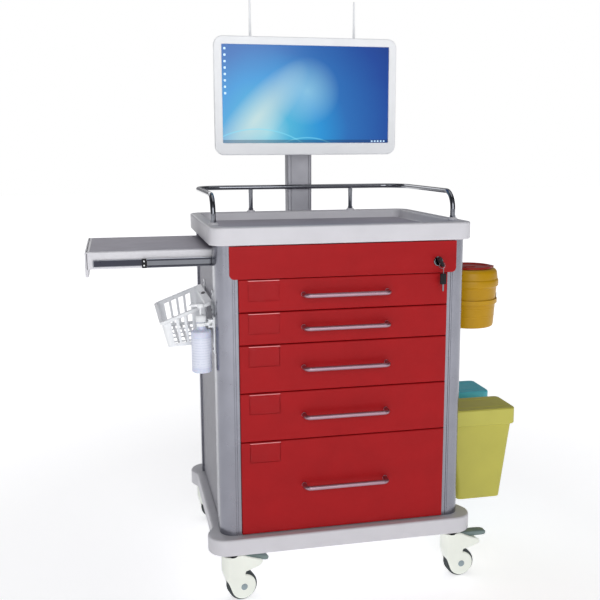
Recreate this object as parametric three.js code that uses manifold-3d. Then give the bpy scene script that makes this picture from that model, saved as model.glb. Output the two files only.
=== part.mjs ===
// Emergency (crash) cart: five-drawer trolley with a guard rail, pull-out side shelf,
// screen on a post, sharps tub, two waste bins, accessory basket and a hand-rub bottle.
// Millimetres, +Z up, +X to the user's right, the drawers open towards -Y.
// The origin is on the floor under the middle of the whole object's box.
import * as THREE from "three";
import { mergeVertices } from "three/addons/utils/BufferGeometryUtils.js";
import Module from "manifold-3d";

const wasm = await Module();
wasm.setup();

// ---------------------------------------------------------------- driving dimensions
const GAP = 0.3; // clearance between pieces that touch

// cabinet, measured from its own middle
const BASE = { halfX: 345, waistX: 330, halfY: 274, z0: 128, z1: 171, corner: 48 };
const TOP = { halfX: 328, halfY: 262, z0: 895, z1: 938, corner: 38, rim: 30, floorZ: 914 };
const COLUMN = { outerX: 314, innerX: 263, frontY: -250, rearY: 256, wall: 3, round: 34 };
const FRONT_COLUMN_END = -179; // the front columns reach back to this y
const REAR_COLUMN_START = 200;
const PANEL = { outerX: 308, innerX: 263, wall: 4 };
const SHELF_SILL_Z = 832; // the left panel stops here, under the side shelf

const DRAWER_LEVELS = [173, 412, 535, 654, 734, 814];
const DRAWER = { halfX: 262, frontY: -256, thick: 20, boxHalfX: 250, boxRearY: 205, wall: 3 };
const HANDLE = { halfX: 105, reach: 28, radius: 6, bend: 13 };
const SLIDE = { panelX: 258, boxX: 257.4, height: 14 };

const LOCK_PANEL = { halfX: 283, frontY: -258, z0: 814.6, z1: 893, corner: 12 };
const LOCK = { x: 235, z: 843, radius: 10 };

const RAIL = { halfX: 308, frontY: -165, rearY: 245, z: 1008, radius: 6.5, postX: 150 };

const SHELF = { x0: -613, x1: -213, y0: -165, y1: 182, z0: 838, z1: 879, lipZ: 819, skin: 6 };
const SHELF_SLIDE = { thick: 3.7, innerX0: -595, innerX1: -235, midX0: -480, midX1: -150 };

const POST = { halfX: 36.5, y0: 264, y1: 304, z0: 648, z1: 1298 };
const MONITOR = { halfX: 260, frontY: 160, z0: 1101, z1: 1421, corner: 25, thick: 45 };
const SCREEN = { halfX: 238, z0: 1134, z1: 1399 };
const SWIVEL = { y: 243, z: 1261 };
const AERIAL = { x: 150, y: 217, z: 1398, tipZ: 1528 };

const BOTTLE = { x: -347, y: -200, radius: 24.5, z0: 583, shoulderZ: 686, neckR: 10, topZ: 724 };
const PUMP_TOP_Z = 753;
const BASKET = {
  hookX: -322, hookZ: 748, y: -24, width: 131, length: 286, depth: 106, tilt: 3.4, slant: 17.6,
};

const TUB = { x: 397, y: -75, z0: 640, seamZ: 750, topZ: 798, r0: 68, r1: 75, lidR: 79 };
const FLAP = { radius: 61, thick: 6 };
const BIN = { x0: 322, x1: 514, halfY: 60, z0: 160, lidZ0: 371, z1: 417, wall: 2.5 };
const BIN_Y = { front: -92, rear: 79 };
const BIN_RAIL = { y0: -165, y1: 152, z0: 370, z1: 398 };

const CASTER = { frontX: 290, rearX: 302, y: 245, trail: 26, wheelR: 37.5, wheelW: 30, bodyW: 42 };
const PEDAL = { pivotX: 34, pivotZ: 113, halfWidth: 13, travel: 14 };
// how far each caster has swung round, in degrees, from trailing straight towards +X
const CASTER_YAW = { frontLeft: 12, frontRight: 2, rearLeft: 18, rearRight: 18 };

// ---------------------------------------------------------------- materials
function material(color, roughness, metalness = 0) {
  return () => new THREE.MeshStandardMaterial({ color, roughness, metalness });
}
const shellPlastic = material(0xd0d0d4, 0.5);
const redPlastic = material(0xa01e23, 0.35);
const greyPanel = material(0x848489, 0.55);
const aluminium = material(0xb8bac4, 0.35, 0.8);
const chrome = material(0xd8dade, 0.12, 1);
const steel = material(0x8b8d92, 0.4, 0.9);
const liner = material(0xc9cacc, 0.55);
const whitePlastic = material(0xe6e8ea, 0.4);
const screenGlass = material(0x2a6fb0, 0.12);
const yellowPlastic = material(0xc2951a, 0.4);
const capRed = material(0x9a2314, 0.4);
const limePlastic = material(0xb8b34e, 0.5);
const bluePlastic = material(0x4a8b9a, 0.5);
const casterIvory = material(0xf0f4ec, 0.35);
const tyreGrey = material(0x4a4e50, 0.8);
const pedalGrey = material(0x788a88, 0.5);
const blackPlastic = material(0x202022, 0.5);

// ---------------------------------------------------------------- solids
function toManifold(geometry) {
  const bare = geometry.clone();
  bare.deleteAttribute("normal");
  bare.deleteAttribute("uv");
  const merged = mergeVertices(bare, 1e-4);
  const mesh = new wasm.Mesh({
    numProp: 3,
    vertProperties: Float32Array.from(merged.attributes.position.array),
    triVerts: Uint32Array.from(merged.index.array),
  });
  return new wasm.Manifold(mesh);
}

function toGeometry(solid) {
  const mesh = solid.getMesh();
  const geometry = new THREE.BufferGeometry();
  geometry.setAttribute("position", new THREE.BufferAttribute(mesh.vertProperties, 3));
  geometry.setIndex(new THREE.BufferAttribute(mesh.triVerts, 1));
  return geometry;
}

function join(...geometries) {
  return toGeometry(geometries.map(toManifold).reduce((all, next) => all.add(next)));
}

function cut(body, ...tools) {
  return toGeometry(tools.map(toManifold).reduce((rest, tool) => rest.subtract(tool), toManifold(body)));
}

function block(x0, x1, y0, y1, z0, z1) {
  const box = new THREE.BoxGeometry(x1 - x0, y1 - y0, z1 - z0);
  return box.translate((x0 + x1) / 2, (y0 + y1) / 2, (z0 + z1) / 2);
}

function cylinder(radius, x, y, z0, z1, sides = 20) {
  const geometry = new THREE.CylinderGeometry(radius, radius, z1 - z0, sides);
  return geometry.rotateX(Math.PI / 2).translate(x, y, (z0 + z1) / 2);
}

// a cylinder whose axis lies along Y
function crossCylinder(radius, x, z, y0, y1, sides = 20) {
  const geometry = new THREE.CylinderGeometry(radius, radius, y1 - y0, sides);
  return geometry.translate(x, (y0 + y1) / 2, z);
}

function roundedRect(x0, x1, y0, y1, radius) {
  const shape = new THREE.Shape();
  shape.moveTo(x0 + radius, y0);
  shape.lineTo(x1 - radius, y0);
  shape.absarc(x1 - radius, y0 + radius, radius, -Math.PI / 2, 0);
  shape.lineTo(x1, y1 - radius);
  shape.absarc(x1 - radius, y1 - radius, radius, 0, Math.PI / 2);
  shape.lineTo(x0 + radius, y1);
  shape.absarc(x0 + radius, y1 - radius, radius, Math.PI / 2, Math.PI);
  shape.lineTo(x0, y0 + radius);
  shape.absarc(x0 + radius, y0 + radius, radius, Math.PI, Math.PI * 1.5);
  return shape;
}

function rectangle(x0, x1, y0, y1) {
  const shape = new THREE.Shape();
  shape.moveTo(x0, y0);
  shape.lineTo(x1, y0);
  shape.lineTo(x1, y1);
  shape.lineTo(x0, y1);
  shape.closePath();
  return shape;
}

// extrudes a plan outline from z0 up to z1, with its edges eased by `ease`
function slabZ(shape, z0, z1, ease = 0, curveSegments = 5) {
  const geometry = new THREE.ExtrudeGeometry(shape, {
    depth: z1 - z0 - 2 * ease,
    curveSegments,
    bevelEnabled: ease > 0,
    bevelThickness: ease,
    bevelSize: ease,
    bevelOffset: -ease,
    bevelSegments: 1,
  });
  return geometry.translate(0, 0, z0 + ease);
}

// extrudes an outline drawn in X and Z from y0 to y1
function slabY(shape, y0, y1, ease = 0, curveSegments = 5) {
  const geometry = slabZ(shape, 0, y1 - y0, ease, curveSegments);
  return geometry.rotateX(Math.PI / 2).translate(0, y1, 0);
}

// a solid lofted through rounded rectangles, each {x0, x1, y0, y1, r, z}
function loft(sections, arcSteps = 3) {
  const outlines = sections.map((s) => {
    const points = [];
    const centres = [
      [s.x1 - s.r, s.y1 - s.r],
      [s.x0 + s.r, s.y1 - s.r],
      [s.x0 + s.r, s.y0 + s.r],
      [s.x1 - s.r, s.y0 + s.r],
    ];
    centres.forEach(([cx, cy], quarter) => {
      for (let i = 0; i <= arcSteps; i += 1) {
        const angle = ((quarter + i / arcSteps) * Math.PI) / 2;
        points.push(cx + s.r * Math.cos(angle), cy + s.r * Math.sin(angle), s.z);
      }
    });
    return points;
  });
  const count = outlines[0].length / 3;
  const index = [];
  for (let level = 0; level + 1 < outlines.length; level += 1) {
    for (let i = 0; i < count; i += 1) {
      const a = level * count + i;
      const b = level * count + ((i + 1) % count);
      index.push(a, b, b + count, a, b + count, a + count);
    }
  }
  const top = (outlines.length - 1) * count;
  for (let i = 1; i + 1 < count; i += 1) {
    index.push(0, i + 1, i);
    index.push(top, top + i, top + i + 1);
  }
  const geometry = new THREE.BufferGeometry();
  geometry.setAttribute("position", new THREE.Float32BufferAttribute(outlines.flat(), 3));
  geometry.setIndex(index);
  return geometry;
}

// ---------------------------------------------------------------- bent tubes
// a polyline whose extrusion steps fall exactly on its points
class Polyline extends THREE.Curve {
  constructor(points) {
    super();
    this.points = points;
  }
  getUtoTmapping(u) {
    return u;
  }
  getPoint(t) {
    const place = THREE.MathUtils.clamp(t, 0, 1) * (this.points.length - 1);
    const i = Math.min(Math.floor(place), this.points.length - 2);
    return this.points[i].clone().lerp(this.points[i + 1], place - i);
  }
}

// rounds the inner corners of a list of points: each corner is [x, y, z, bend radius]
function filleted(corners, arcSteps) {
  const at = (c) => new THREE.Vector3(c[0], c[1], c[2]);
  const points = [at(corners[0])];
  for (let i = 1; i + 1 < corners.length; i += 1) {
    const corner = at(corners[i]);
    const back = at(corners[i - 1]).sub(corner).normalize();
    const ahead = at(corners[i + 1]).sub(corner).normalize();
    const half = back.angleTo(ahead) / 2;
    const radius = corners[i][3];
    const centre = corner.clone().addScaledVector(
      back.clone().add(ahead).normalize(),
      radius / Math.sin(half),
    );
    const start = corner.clone().addScaledVector(back, radius / Math.tan(half)).sub(centre);
    const end = corner.clone().addScaledVector(ahead, radius / Math.tan(half)).sub(centre);
    const axis = start.clone().cross(end).normalize();
    const sweep = start.angleTo(end);
    for (let k = 0; k <= arcSteps; k += 1) {
      const spoke = start.clone().applyAxisAngle(axis, (sweep * k) / arcSteps);
      points.push(spoke.add(centre));
    }
  }
  points.push(at(corners[corners.length - 1]));
  return points;
}

function tube(corners, radius, arcSteps, sides = 10) {
  const points = filleted(corners, arcSteps);
  const section = new THREE.Shape();
  for (let i = 0; i < sides; i += 1) {
    const angle = (i / sides) * Math.PI * 2;
    const method = i === 0 ? "moveTo" : "lineTo";
    section[method](radius * Math.cos(angle), radius * Math.sin(angle));
  }
  section.closePath();
  return new THREE.ExtrudeGeometry(section, {
    steps: points.length - 1,
    extrudePath: new Polyline(points),
    bevelEnabled: false,
  });
}

// ---------------------------------------------------------------- assembly
const cart = new THREE.Group();

function add(name, geometry, finish, parent = cart) {
  const mesh = new THREE.Mesh(geometry, finish());
  mesh.name = name;
  parent.add(mesh);
  return mesh;
}

// ---------------------------------------------------------------- base and worktop
function baseOutline() {
  const { halfX, waistX, halfY, corner } = BASE;
  const lobeFront = -222;
  const lobeRear = 226;
  const run = 44; // length of the S-bend from lobe to waist
  const shape = new THREE.Shape();
  shape.moveTo(-halfX + corner, -halfY);
  shape.lineTo(halfX - corner, -halfY);
  shape.absarc(halfX - corner, -halfY + corner, corner, -Math.PI / 2, 0);
  shape.lineTo(halfX, lobeFront);
  shape.bezierCurveTo(
    halfX, lobeFront + run / 2, waistX, lobeFront + run / 2, waistX, lobeFront + run);
  shape.lineTo(waistX, lobeRear - run);
  shape.bezierCurveTo(waistX, lobeRear - run / 2, halfX, lobeRear - run / 2, halfX, lobeRear);
  shape.lineTo(halfX, halfY - corner);
  shape.absarc(halfX - corner, halfY - corner, corner, 0, Math.PI / 2);
  shape.lineTo(-halfX + corner, halfY);
  shape.absarc(-halfX + corner, halfY - corner, corner, Math.PI / 2, Math.PI);
  shape.lineTo(-halfX, lobeRear);
  shape.bezierCurveTo(
    -halfX, lobeRear - run / 2, -waistX, lobeRear - run / 2, -waistX, lobeRear - run);
  shape.lineTo(-waistX, lobeFront + run);
  shape.bezierCurveTo(
    -waistX, lobeFront + run / 2, -halfX, lobeFront + run / 2, -halfX, lobeFront);
  shape.lineTo(-halfX, -halfY + corner);
  shape.absarc(-halfX + corner, -halfY + corner, corner, Math.PI, Math.PI * 1.5);
  return shape;
}

function makeBase() {
  const deck = 8;
  const plate = slabZ(baseOutline(), BASE.z0, BASE.z1, 5);
  const pocket = slabZ(roundedRect(-235, 235, -250, 250, 20), BASE.z0 - 5, BASE.z1 - deck, 0, 3);
  add("base", cut(plate, pocket), shellPlastic);
}

function makeWorktop() {
  const { halfX, halfY, z0, z1, corner, rim, floorZ } = TOP;
  const body = slabZ(roundedRect(-halfX, halfX, -halfY, halfY, corner), z0, z1, 5);
  const inset = (d, r, z) => ({ x0: d - halfX, x1: halfX - d, y0: d - halfY, y1: halfY - d, r, z });
  const recess = loft([inset(rim + 4, 22, floorZ), inset(rim, 26, z1 + 0.1)]);
  const tray = cut(body, recess);
  // moulded collars where the four legs of the guard rail go in
  const collars = railFeet().map(([x, y]) => cylinder(10, x, y, z1 - 2, z1 + 6, 16));
  add("worktop", join(tray, ...collars), shellPlastic);
}

// hollow extrusion, drawn with its inner front corner at the origin and its round corner at +X
function columnProfile(depth) {
  const { outerX, innerX, wall, round } = COLUMN;
  const width = outerX - innerX;
  const shape = new THREE.Shape();
  shape.moveTo(0, 0);
  shape.lineTo(width - round, 0);
  shape.absarc(width - round, round, round, -Math.PI / 2, 0);
  shape.lineTo(width, depth);
  shape.lineTo(0, depth);
  shape.closePath();
  const hole = new THREE.Path();
  hole.moveTo(wall, wall);
  hole.lineTo(wall, depth - wall);
  hole.lineTo(width - wall, depth - wall);
  hole.lineTo(width - wall, round);
  hole.absarc(width - round, round, round - wall, 0, -Math.PI / 2, true);
  hole.closePath();
  shape.holes.push(hole);
  return shape;
}

function makeColumns() {
  const { innerX, frontY, rearY } = COLUMN;
  const place = (name, depth, y, sideX, sideY) => {
    const upright = slabZ(columnProfile(depth), BASE.z1 + GAP, TOP.z0 - GAP, 0, 5);
    const mirrored = toManifold(upright).scale([sideX, sideY, 1]);
    add(name, toGeometry(mirrored.translate([sideX * innerX, y, 0])), aluminium);
  };
  const frontDepth = FRONT_COLUMN_END - frontY;
  const rearDepth = rearY - REAR_COLUMN_START;
  place("column_front_left", frontDepth, frontY, -1, 1);
  place("column_front_right", frontDepth, frontY, 1, 1);
  place("column_rear_left", rearDepth, rearY, -1, -1);
  place("column_rear_right", rearDepth, rearY, 1, -1);
}

// ---------------------------------------------------------------- side and back panels
function drawerMiddle(i) {
  return (DRAWER_LEVELS[i] + DRAWER_LEVELS[i + 1]) / 2;
}

// double-walled panel, hollow from below, with one fixed slide member per drawer
function sidePanel(side, topZ) {
  const { outerX, innerX, wall } = PANEL;
  const y0 = FRONT_COLUMN_END + GAP;
  const y1 = REAR_COLUMN_START - GAP;
  const z0 = BASE.z1 + GAP;
  const span = (a, b) => (side > 0 ? [a, b] : [-b, -a]);
  const body = block(...span(innerX, outerX), y0, y1, z0, topZ);
  const hollow = block(...span(innerX + wall, outerX - wall), y0 + wall, y1 - wall, z0 - 1, topZ - wall);
  const slides = [];
  for (let i = 0; i < 5; i += 1) {
    const z = drawerMiddle(i);
    const half = SLIDE.height / 2;
    slides.push(block(...span(SLIDE.panelX, innerX + 1), y0, y1, z - half, z + half));
  }
  return join(cut(body, hollow), ...slides);
}

function makePanels() {
  add("left_panel", sidePanel(-1, SHELF_SILL_Z), greyPanel);
  add("right_panel", sidePanel(1, TOP.z0 - GAP), greyPanel);
  const halfX = COLUMN.innerX - 0.5;
  add("back_panel", block(-halfX, halfX, 236, 244, BASE.z1 + GAP, TOP.z0 - GAP), greyPanel);
}

// ---------------------------------------------------------------- guard rail
function railFeet() {
  const { halfX, frontY, rearY, postX } = RAIL;
  return [[-halfX, frontY], [halfX, frontY], [-postX, rearY], [postX, rearY]];
}

function makeGuardRail() {
  const { halfX, frontY, rearY, z, radius, postX } = RAIL;
  const foot = TOP.z1 + 6 + GAP;
  const loop = tube([
    [-halfX, frontY, foot],
    [-halfX, frontY, z, 45],
    [-halfX, rearY, z, 70],
    [halfX, rearY, z, 70],
    [halfX, frontY, z, 45],
    [halfX, frontY, foot],
  ], radius, 6, 10);
  const posts = [-postX, postX].map((x) => cylinder(radius - 1, x, rearY, foot, z, 10));
  add("guard_rail", join(loop, ...posts), chrome);
}

// ---------------------------------------------------------------- lock panel
function makeLockPanel() {
  const { halfX, frontY, z0, z1, corner } = LOCK_PANEL;
  const shape = new THREE.Shape();
  shape.moveTo(-halfX + corner, z0);
  shape.lineTo(halfX - corner, z0);
  shape.absarc(halfX - corner, z0 + corner, corner, -Math.PI / 2, 0);
  shape.lineTo(halfX, z1);
  shape.lineTo(-halfX, z1);
  shape.lineTo(-halfX, z0 + corner);
  shape.absarc(-halfX + corner, z0 + corner, corner, Math.PI, Math.PI * 1.5);
  const plate = slabY(shape, frontY, COLUMN.frontY - GAP, 1);
  const hole = crossCylinder(LOCK.radius + 0.5, LOCK.x, LOCK.z, frontY - 5, COLUMN.frontY + 5);
  add("lock_panel", cut(plate, hole), redPlastic);

  const barrel = crossCylinder(LOCK.radius, LOCK.x, LOCK.z, frontY - 3, -232);
  const cam = block(LOCK.x - 5, LOCK.x + 5, -236, -232.5, LOCK.z - 26, LOCK.z);
  const blade = block(LOCK.x - 1, LOCK.x + 1, frontY - 10, frontY - 2, LOCK.z - 4, LOCK.z + 4);
  const bowShape = roundedRect(LOCK.x - 1.8, LOCK.x + 1.8, LOCK.z - 11, LOCK.z + 11, 1.5);
  const bow = slabY(bowShape, -285, -267.5, 0, 2);
  add("lock_cylinder", join(barrel, cam, blade, bow), steel);
}

// ---------------------------------------------------------------- drawers
function makeDrawer(number, z0, z1) {
  const { halfX, frontY, thick, boxHalfX, boxRearY, wall } = DRAWER;
  const middle = (z0 + z1) / 2;
  const front = slabY(rectangle(-halfX, halfX, z0 + 0.8, z1 - 0.8), frontY, frontY + thick, 2);
  add(`drawer_${number}_front`, front, redPlastic);

  const boxFrontY = frontY + thick + GAP;
  const floorZ = z0 + 12;
  const outer = block(-boxHalfX, boxHalfX, boxFrontY, boxRearY, floorZ, z1 - 10);
  const inner = block(
    -boxHalfX + wall, boxHalfX - wall, boxFrontY + wall, boxRearY - wall, floorZ + wall, z1);
  const runners = [-1, 1].map((side) => {
    const xs = [side * (boxHalfX - 1), side * SLIDE.boxX].sort((a, b) => a - b);
    return block(...xs, boxFrontY + 10, boxRearY - 5, middle - 5, middle + 5);
  });
  add(`drawer_${number}_box`, join(cut(outer, inner), ...runners), liner);

  const { halfX: grip, reach, radius, bend } = HANDLE;
  const face = frontY - GAP;
  const bar = tube([
    [-grip, face, middle],
    [-grip, frontY - reach, middle, bend],
    [grip, frontY - reach, middle, bend],
    [grip, face, middle],
  ], radius, 4, 8);
  add(`drawer_${number}_handle`, bar, chrome);
}

function makeDrawers() {
  for (let i = 0; i < 5; i += 1) {
    makeDrawer(5 - i, DRAWER_LEVELS[i], DRAWER_LEVELS[i + 1]);
  }
}

// ---------------------------------------------------------------- side shelf
// each side runs on a three-member slide: on the shelf, in the middle, on the carrier
function makeSideShelf() {
  const { x0, x1, y0, y1, z0, z1, lipZ, skin } = SHELF;
  const { thick, innerX0, innerX1, midX0, midX1 } = SHELF_SLIDE;
  const end = 8;
  const board = block(x0, x1, y0, y1, z1 - skin, z1);
  const skirts = [block(x0, x1, y0, y0 + skin, z0, z1), block(x0, x1, y1 - skin, y1, z0, z1)];
  const lip = block(x0, x0 + end, y0, y1, lipZ, z1);
  const inner = [
    block(innerX0, innerX1, y0 - thick, y0 + 1, 846, 858),
    block(innerX0, innerX1, y1 - 1, y1 + thick, 846, 858),
  ];
  add("side_shelf", join(board, ...skirts, lip, ...inner), shellPlastic);

  const midFront = y0 - thick - GAP;
  const midRear = y1 + thick + GAP;
  add("shelf_slide_front", block(midX0, midX1, midFront - thick, midFront, 840.5, 858.5), chrome);
  add("shelf_slide_rear", block(midX0, midX1, midRear, midRear + thick, 840.5, 858.5), chrome);

  const outerFront = midFront - thick - GAP;
  const outerRear = midRear + thick + GAP;
  const reach = COLUMN.innerX - 1;
  const plate = block(-reach, reach, outerFront - thick, outerRear + thick, 820, 823);
  const walls = [
    block(-reach, 100, outerFront - thick, outerFront, 820, 861),
    block(-reach, 100, outerRear, outerRear + thick, 820, 861),
  ];
  const members = [
    block(-312, 100, outerFront - thick, outerFront, 838, 861),
    block(-312, 100, outerRear, outerRear + thick, 838, 861),
  ];
  add("shelf_carrier", join(plate, ...walls, ...members), steel);
}

// ---------------------------------------------------------------- screen and its post
function makePost() {
  const { halfX, y0, y1, z0, z1 } = POST;
  const mast = slabZ(roundedRect(-halfX, halfX, y0, y1, 4), z0, z1, 0, 2);
  const foot = block(-20, 20, 244 + GAP, y0 + 1, z0 + 12, 890);
  const knuckle = block(-24, 24, SWIVEL.y - 12, y0 + 1, SWIVEL.z - 30, SWIVEL.z - 14);
  const knuckleTop = block(-24, 24, SWIVEL.y - 12, y0 + 1, SWIVEL.z + 14, SWIVEL.z + 30);
  const pin = cylinder(6, 0, SWIVEL.y, SWIVEL.z - 30, SWIVEL.z + 30, 16);
  add("monitor_post", join(mast, foot, knuckle, knuckleTop, pin), aluminium);
}

function makeMonitor() {
  const { halfX, frontY, z0, z1, corner, thick } = MONITOR;
  const rearY = frontY + thick;
  const bezelRear = frontY + 15;
  // swivel block on the post's pin, with a cross pin that the screen tilts on
  // its rear is narrow enough to turn in front of the mast
  const swivelBody = block(-16, 16, SWIVEL.y - 18, SWIVEL.y + 10, SWIVEL.z - 13.4, SWIVEL.z + 13.4);
  const arm = block(-22, 22, rearY + 10, SWIVEL.y - 12, SWIVEL.z - 8, SWIVEL.z + 8);
  const cross = new THREE.CylinderGeometry(5, 5, 76, 16);
  cross.rotateZ(Math.PI / 2).translate(0, rearY + 14, SWIVEL.z);
  const bore = cylinder(6.4, 0, SWIVEL.y, SWIVEL.z - 20, SWIVEL.z + 20, 16);
  add("tilt_head", join(cut(join(swivelBody, arm), bore), cross), blackPlastic);

  const outline = roundedRect(-halfX, halfX, z0, z1, corner);
  const frame = slabY(outline, frontY, bezelRear, 3, 5);
  const window = block(-SCREEN.halfX, SCREEN.halfX, frontY - 5, frontY + 30, SCREEN.z0, SCREEN.z1);
  add("monitor_bezel", cut(frame, window), whitePlastic);

  const glass = block(
    -SCREEN.halfX + GAP, SCREEN.halfX - GAP, frontY + 4, frontY + 9, SCREEN.z0 + GAP, SCREEN.z1 - GAP);
  add("monitor_screen", glass, screenGlass);

  // the rear shell narrows towards the mount and carries the two hinge ears
  const shellFront = bezelRear + GAP;
  const shellOutline = roundedRect(4 - halfX, halfX - 4, z0 + 4, z1 - 4, corner - 4);
  const shell = slabY(shellOutline, shellFront, rearY, 8, 5);
  const ears = [-1, 1].map((side) => {
    const ear = block(side * 33 - 5, side * 33 + 5, rearY - 1, rearY + 22, SWIVEL.z - 12, SWIVEL.z + 12);
    const hole = new THREE.CylinderGeometry(5.4, 5.4, 20, 16);
    hole.rotateZ(Math.PI / 2).translate(side * 33, rearY + 14, SWIVEL.z);
    return cut(ear, hole);
  });
  const sockets = [-AERIAL.x, AERIAL.x].map((x) =>
    block(x - 8, x + 8, rearY - 1, AERIAL.y - 7.5, AERIAL.z - 12, AERIAL.z + 8));
  add("monitor_back", join(shell, ...ears, ...sockets), whitePlastic);

  // each aerial is a tapering rod on a pivot foot
  ["left", "right"].forEach((side, i) => {
    const x = i === 0 ? -AERIAL.x : AERIAL.x;
    const rod = new THREE.CylinderGeometry(2.5, 4.6, AERIAL.tipZ - AERIAL.z, 12);
    rod.rotateX(Math.PI / 2).translate(x, AERIAL.y, (AERIAL.tipZ + AERIAL.z) / 2);
    const foot = crossCylinder(7, x, AERIAL.z, AERIAL.y - 7.2, AERIAL.y + 6, 16);
    add(`aerial_${side}`, join(rod, foot), whitePlastic);
  });
}

// ---------------------------------------------------------------- hand-rub bottle
function makeBottle() {
  const { x, y, radius, z0, shoulderZ, neckR, topZ } = BOTTLE;
  const plateX = -COLUMN.outerX - GAP;
  const ringZ = shoulderZ + 12;
  const plate = block(plateX - 3.5, plateX, y - 13, y + 13, 629, 719);
  const arm = block(x, plateX - 2, y - 9, y + 9, ringZ, ringZ + 8);
  const ring = cylinder(16, x, y, ringZ, ringZ + 8, 20);
  const bore = cylinder(neckR + 0.8, x, y, ringZ - 5, ringZ + 15, 20);
  const mouth = block(x - 30, x, y - neckR - 0.8, y + neckR + 0.8, ringZ - 5, ringZ + 15);
  add("bottle_bracket", cut(join(plate, arm, ring), bore, mouth), whitePlastic);

  const profile = [
    [0, z0], [radius - 3, z0], [radius, z0 + 3], [radius, shoulderZ - 8], [radius - 5, shoulderZ],
    [neckR, shoulderZ + 8], [neckR, ringZ + 9], [14, ringZ + 9], [14, topZ], [4, topZ],
    [4, topZ - 30], [0, topZ - 30],
  ].map(([r, z]) => new THREE.Vector2(r, z));
  const flask = new THREE.LatheGeometry(profile, 20).rotateX(Math.PI / 2).translate(x, y, 0);
  add("bottle", flask, material(0xd8def0, 0.3));

  const stem = cylinder(3, x, y, topZ - 16, PUMP_TOP_Z - 6, 12);
  const head = cylinder(9, x, y, PUMP_TOP_Z - 12, PUMP_TOP_Z, 16);
  const spout = block(x - 26, x, y - 3.5, y + 3.5, PUMP_TOP_Z - 10, PUMP_TOP_Z - 3);
  add("bottle_pump", join(stem, head, spout), whitePlastic);
}

// ---------------------------------------------------------------- basket
// drawn with a level floor and its inner rim at the origin, then tilted on its hooks; the rim
// slants down from the cart, so the outer wall is lower than the inner one
function makeBasket() {
  const { width, length, depth, hookX, hookZ, y, tilt, slant } = BASKET;
  const wall = 2.5;
  const half = length / 2;
  const tall = 8; // the walls are drawn this far above the hooks, then cut along the rim
  const slope = Math.tan(THREE.MathUtils.degToRad(slant));
  const slanted = (geometry) => geometry.rotateY(THREE.MathUtils.degToRad(-slant));
  const level = (outerX, innerX, endY, inset, z) => ({
    x0: outerX + inset, x1: innerX - inset, y0: inset - endY, y1: endY - inset, r: 10 - inset, z,
  });
  const outer = loft([level(-108.5, -6.3, half - 16, 0, -depth), level(-122, -5, half - 6, 0, tall)]);
  const inner = loft([
    level(-108.5, -6.3, half - 16, wall, wall - depth),
    level(-122, -5, half - 6, wall, tall + 1),
  ]);
  const lip = slanted(slabZ(roundedRect(-width, 0, -half, half, 14), -4, 0, 0, 3));
  const above = slanted(block(-width - 40, 40, -half - 5, half + 5, -0.5, 60));
  const tools = [inner];
  for (let column = 0; column < 6; column += 1) {
    const slotY = (column - 2.5) * 40;
    tools.push(block(-width - 5, 5, slotY - 14, slotY + 14, 8 - depth, -54));
    tools.push(block(-98, -17, slotY - 14, slotY + 14, -depth - 5, wall + 4 - depth));
  }
  for (let column = 0; column < 4; column += 1) {
    const slotX = -93 + column * 20;
    tools.push(block(slotX, slotX + 13, -half - 5, half + 5, 8 - depth, slotX * slope - 14));
  }
  const shell = cut(join(cut(outer, above), lip), ...tools);
  shell.rotateY(THREE.MathUtils.degToRad(-tilt));
  add("basket", shell.translate(hookX, y, hookZ), whitePlastic);
}

// ---------------------------------------------------------------- sharps tub
function makeSharpsTub() {
  const { x, y, z0, seamZ, topZ, r0, r1, lidR } = TUB;
  const wall = 2.5;
  const mouthR = 52;
  const profile = [
    [0, z0], [r0 - 4, z0], [r0, z0 + 4], [r1, seamZ - 3], [lidR, seamZ], [lidR, topZ - 12],
    [lidR - 8, topZ], [mouthR, topZ], [mouthR, topZ - wall], [lidR - 10, topZ - wall],
    [lidR - wall, topZ - 14], [lidR - wall, seamZ + 1], [r1 - wall, seamZ - 3],
    [r0 - wall, z0 + wall], [0, z0 + wall],
  ].map(([r, z]) => new THREE.Vector2(r, z));
  const tub = new THREE.LatheGeometry(profile, 24).rotateX(Math.PI / 2).translate(x, y, 0);
  add("sharps_tub", tub, yellowPlastic);

  const lidZ = topZ + GAP;
  const cap = cylinder(FLAP.radius, x, y, lidZ, lidZ + FLAP.thick, 24);
  const tab = block(x + FLAP.radius - 4, x + FLAP.radius + 8, y - 10, y + 10, lidZ, lidZ + 4);
  add("sharps_lid", join(cap, tab), capRed);

  const ringZ = 705;
  const bore = 73.6;
  const plateX = PANEL.outerX + GAP;
  const plate = block(plateX, plateX + 3, y - 30, y + 30, ringZ - 20, ringZ + 30);
  const arm = block(plateX + 2, x - bore + 3, y - 20, y + 20, ringZ, ringZ + 12);
  const band = cylinder(bore + 3, x, y, ringZ, ringZ + 12, 24);
  const hole = cylinder(bore, x, y, ringZ - 5, ringZ + 20, 24);
  add("sharps_holder", join(plate, cut(join(arm, band), hole)), yellowPlastic);
}

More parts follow.
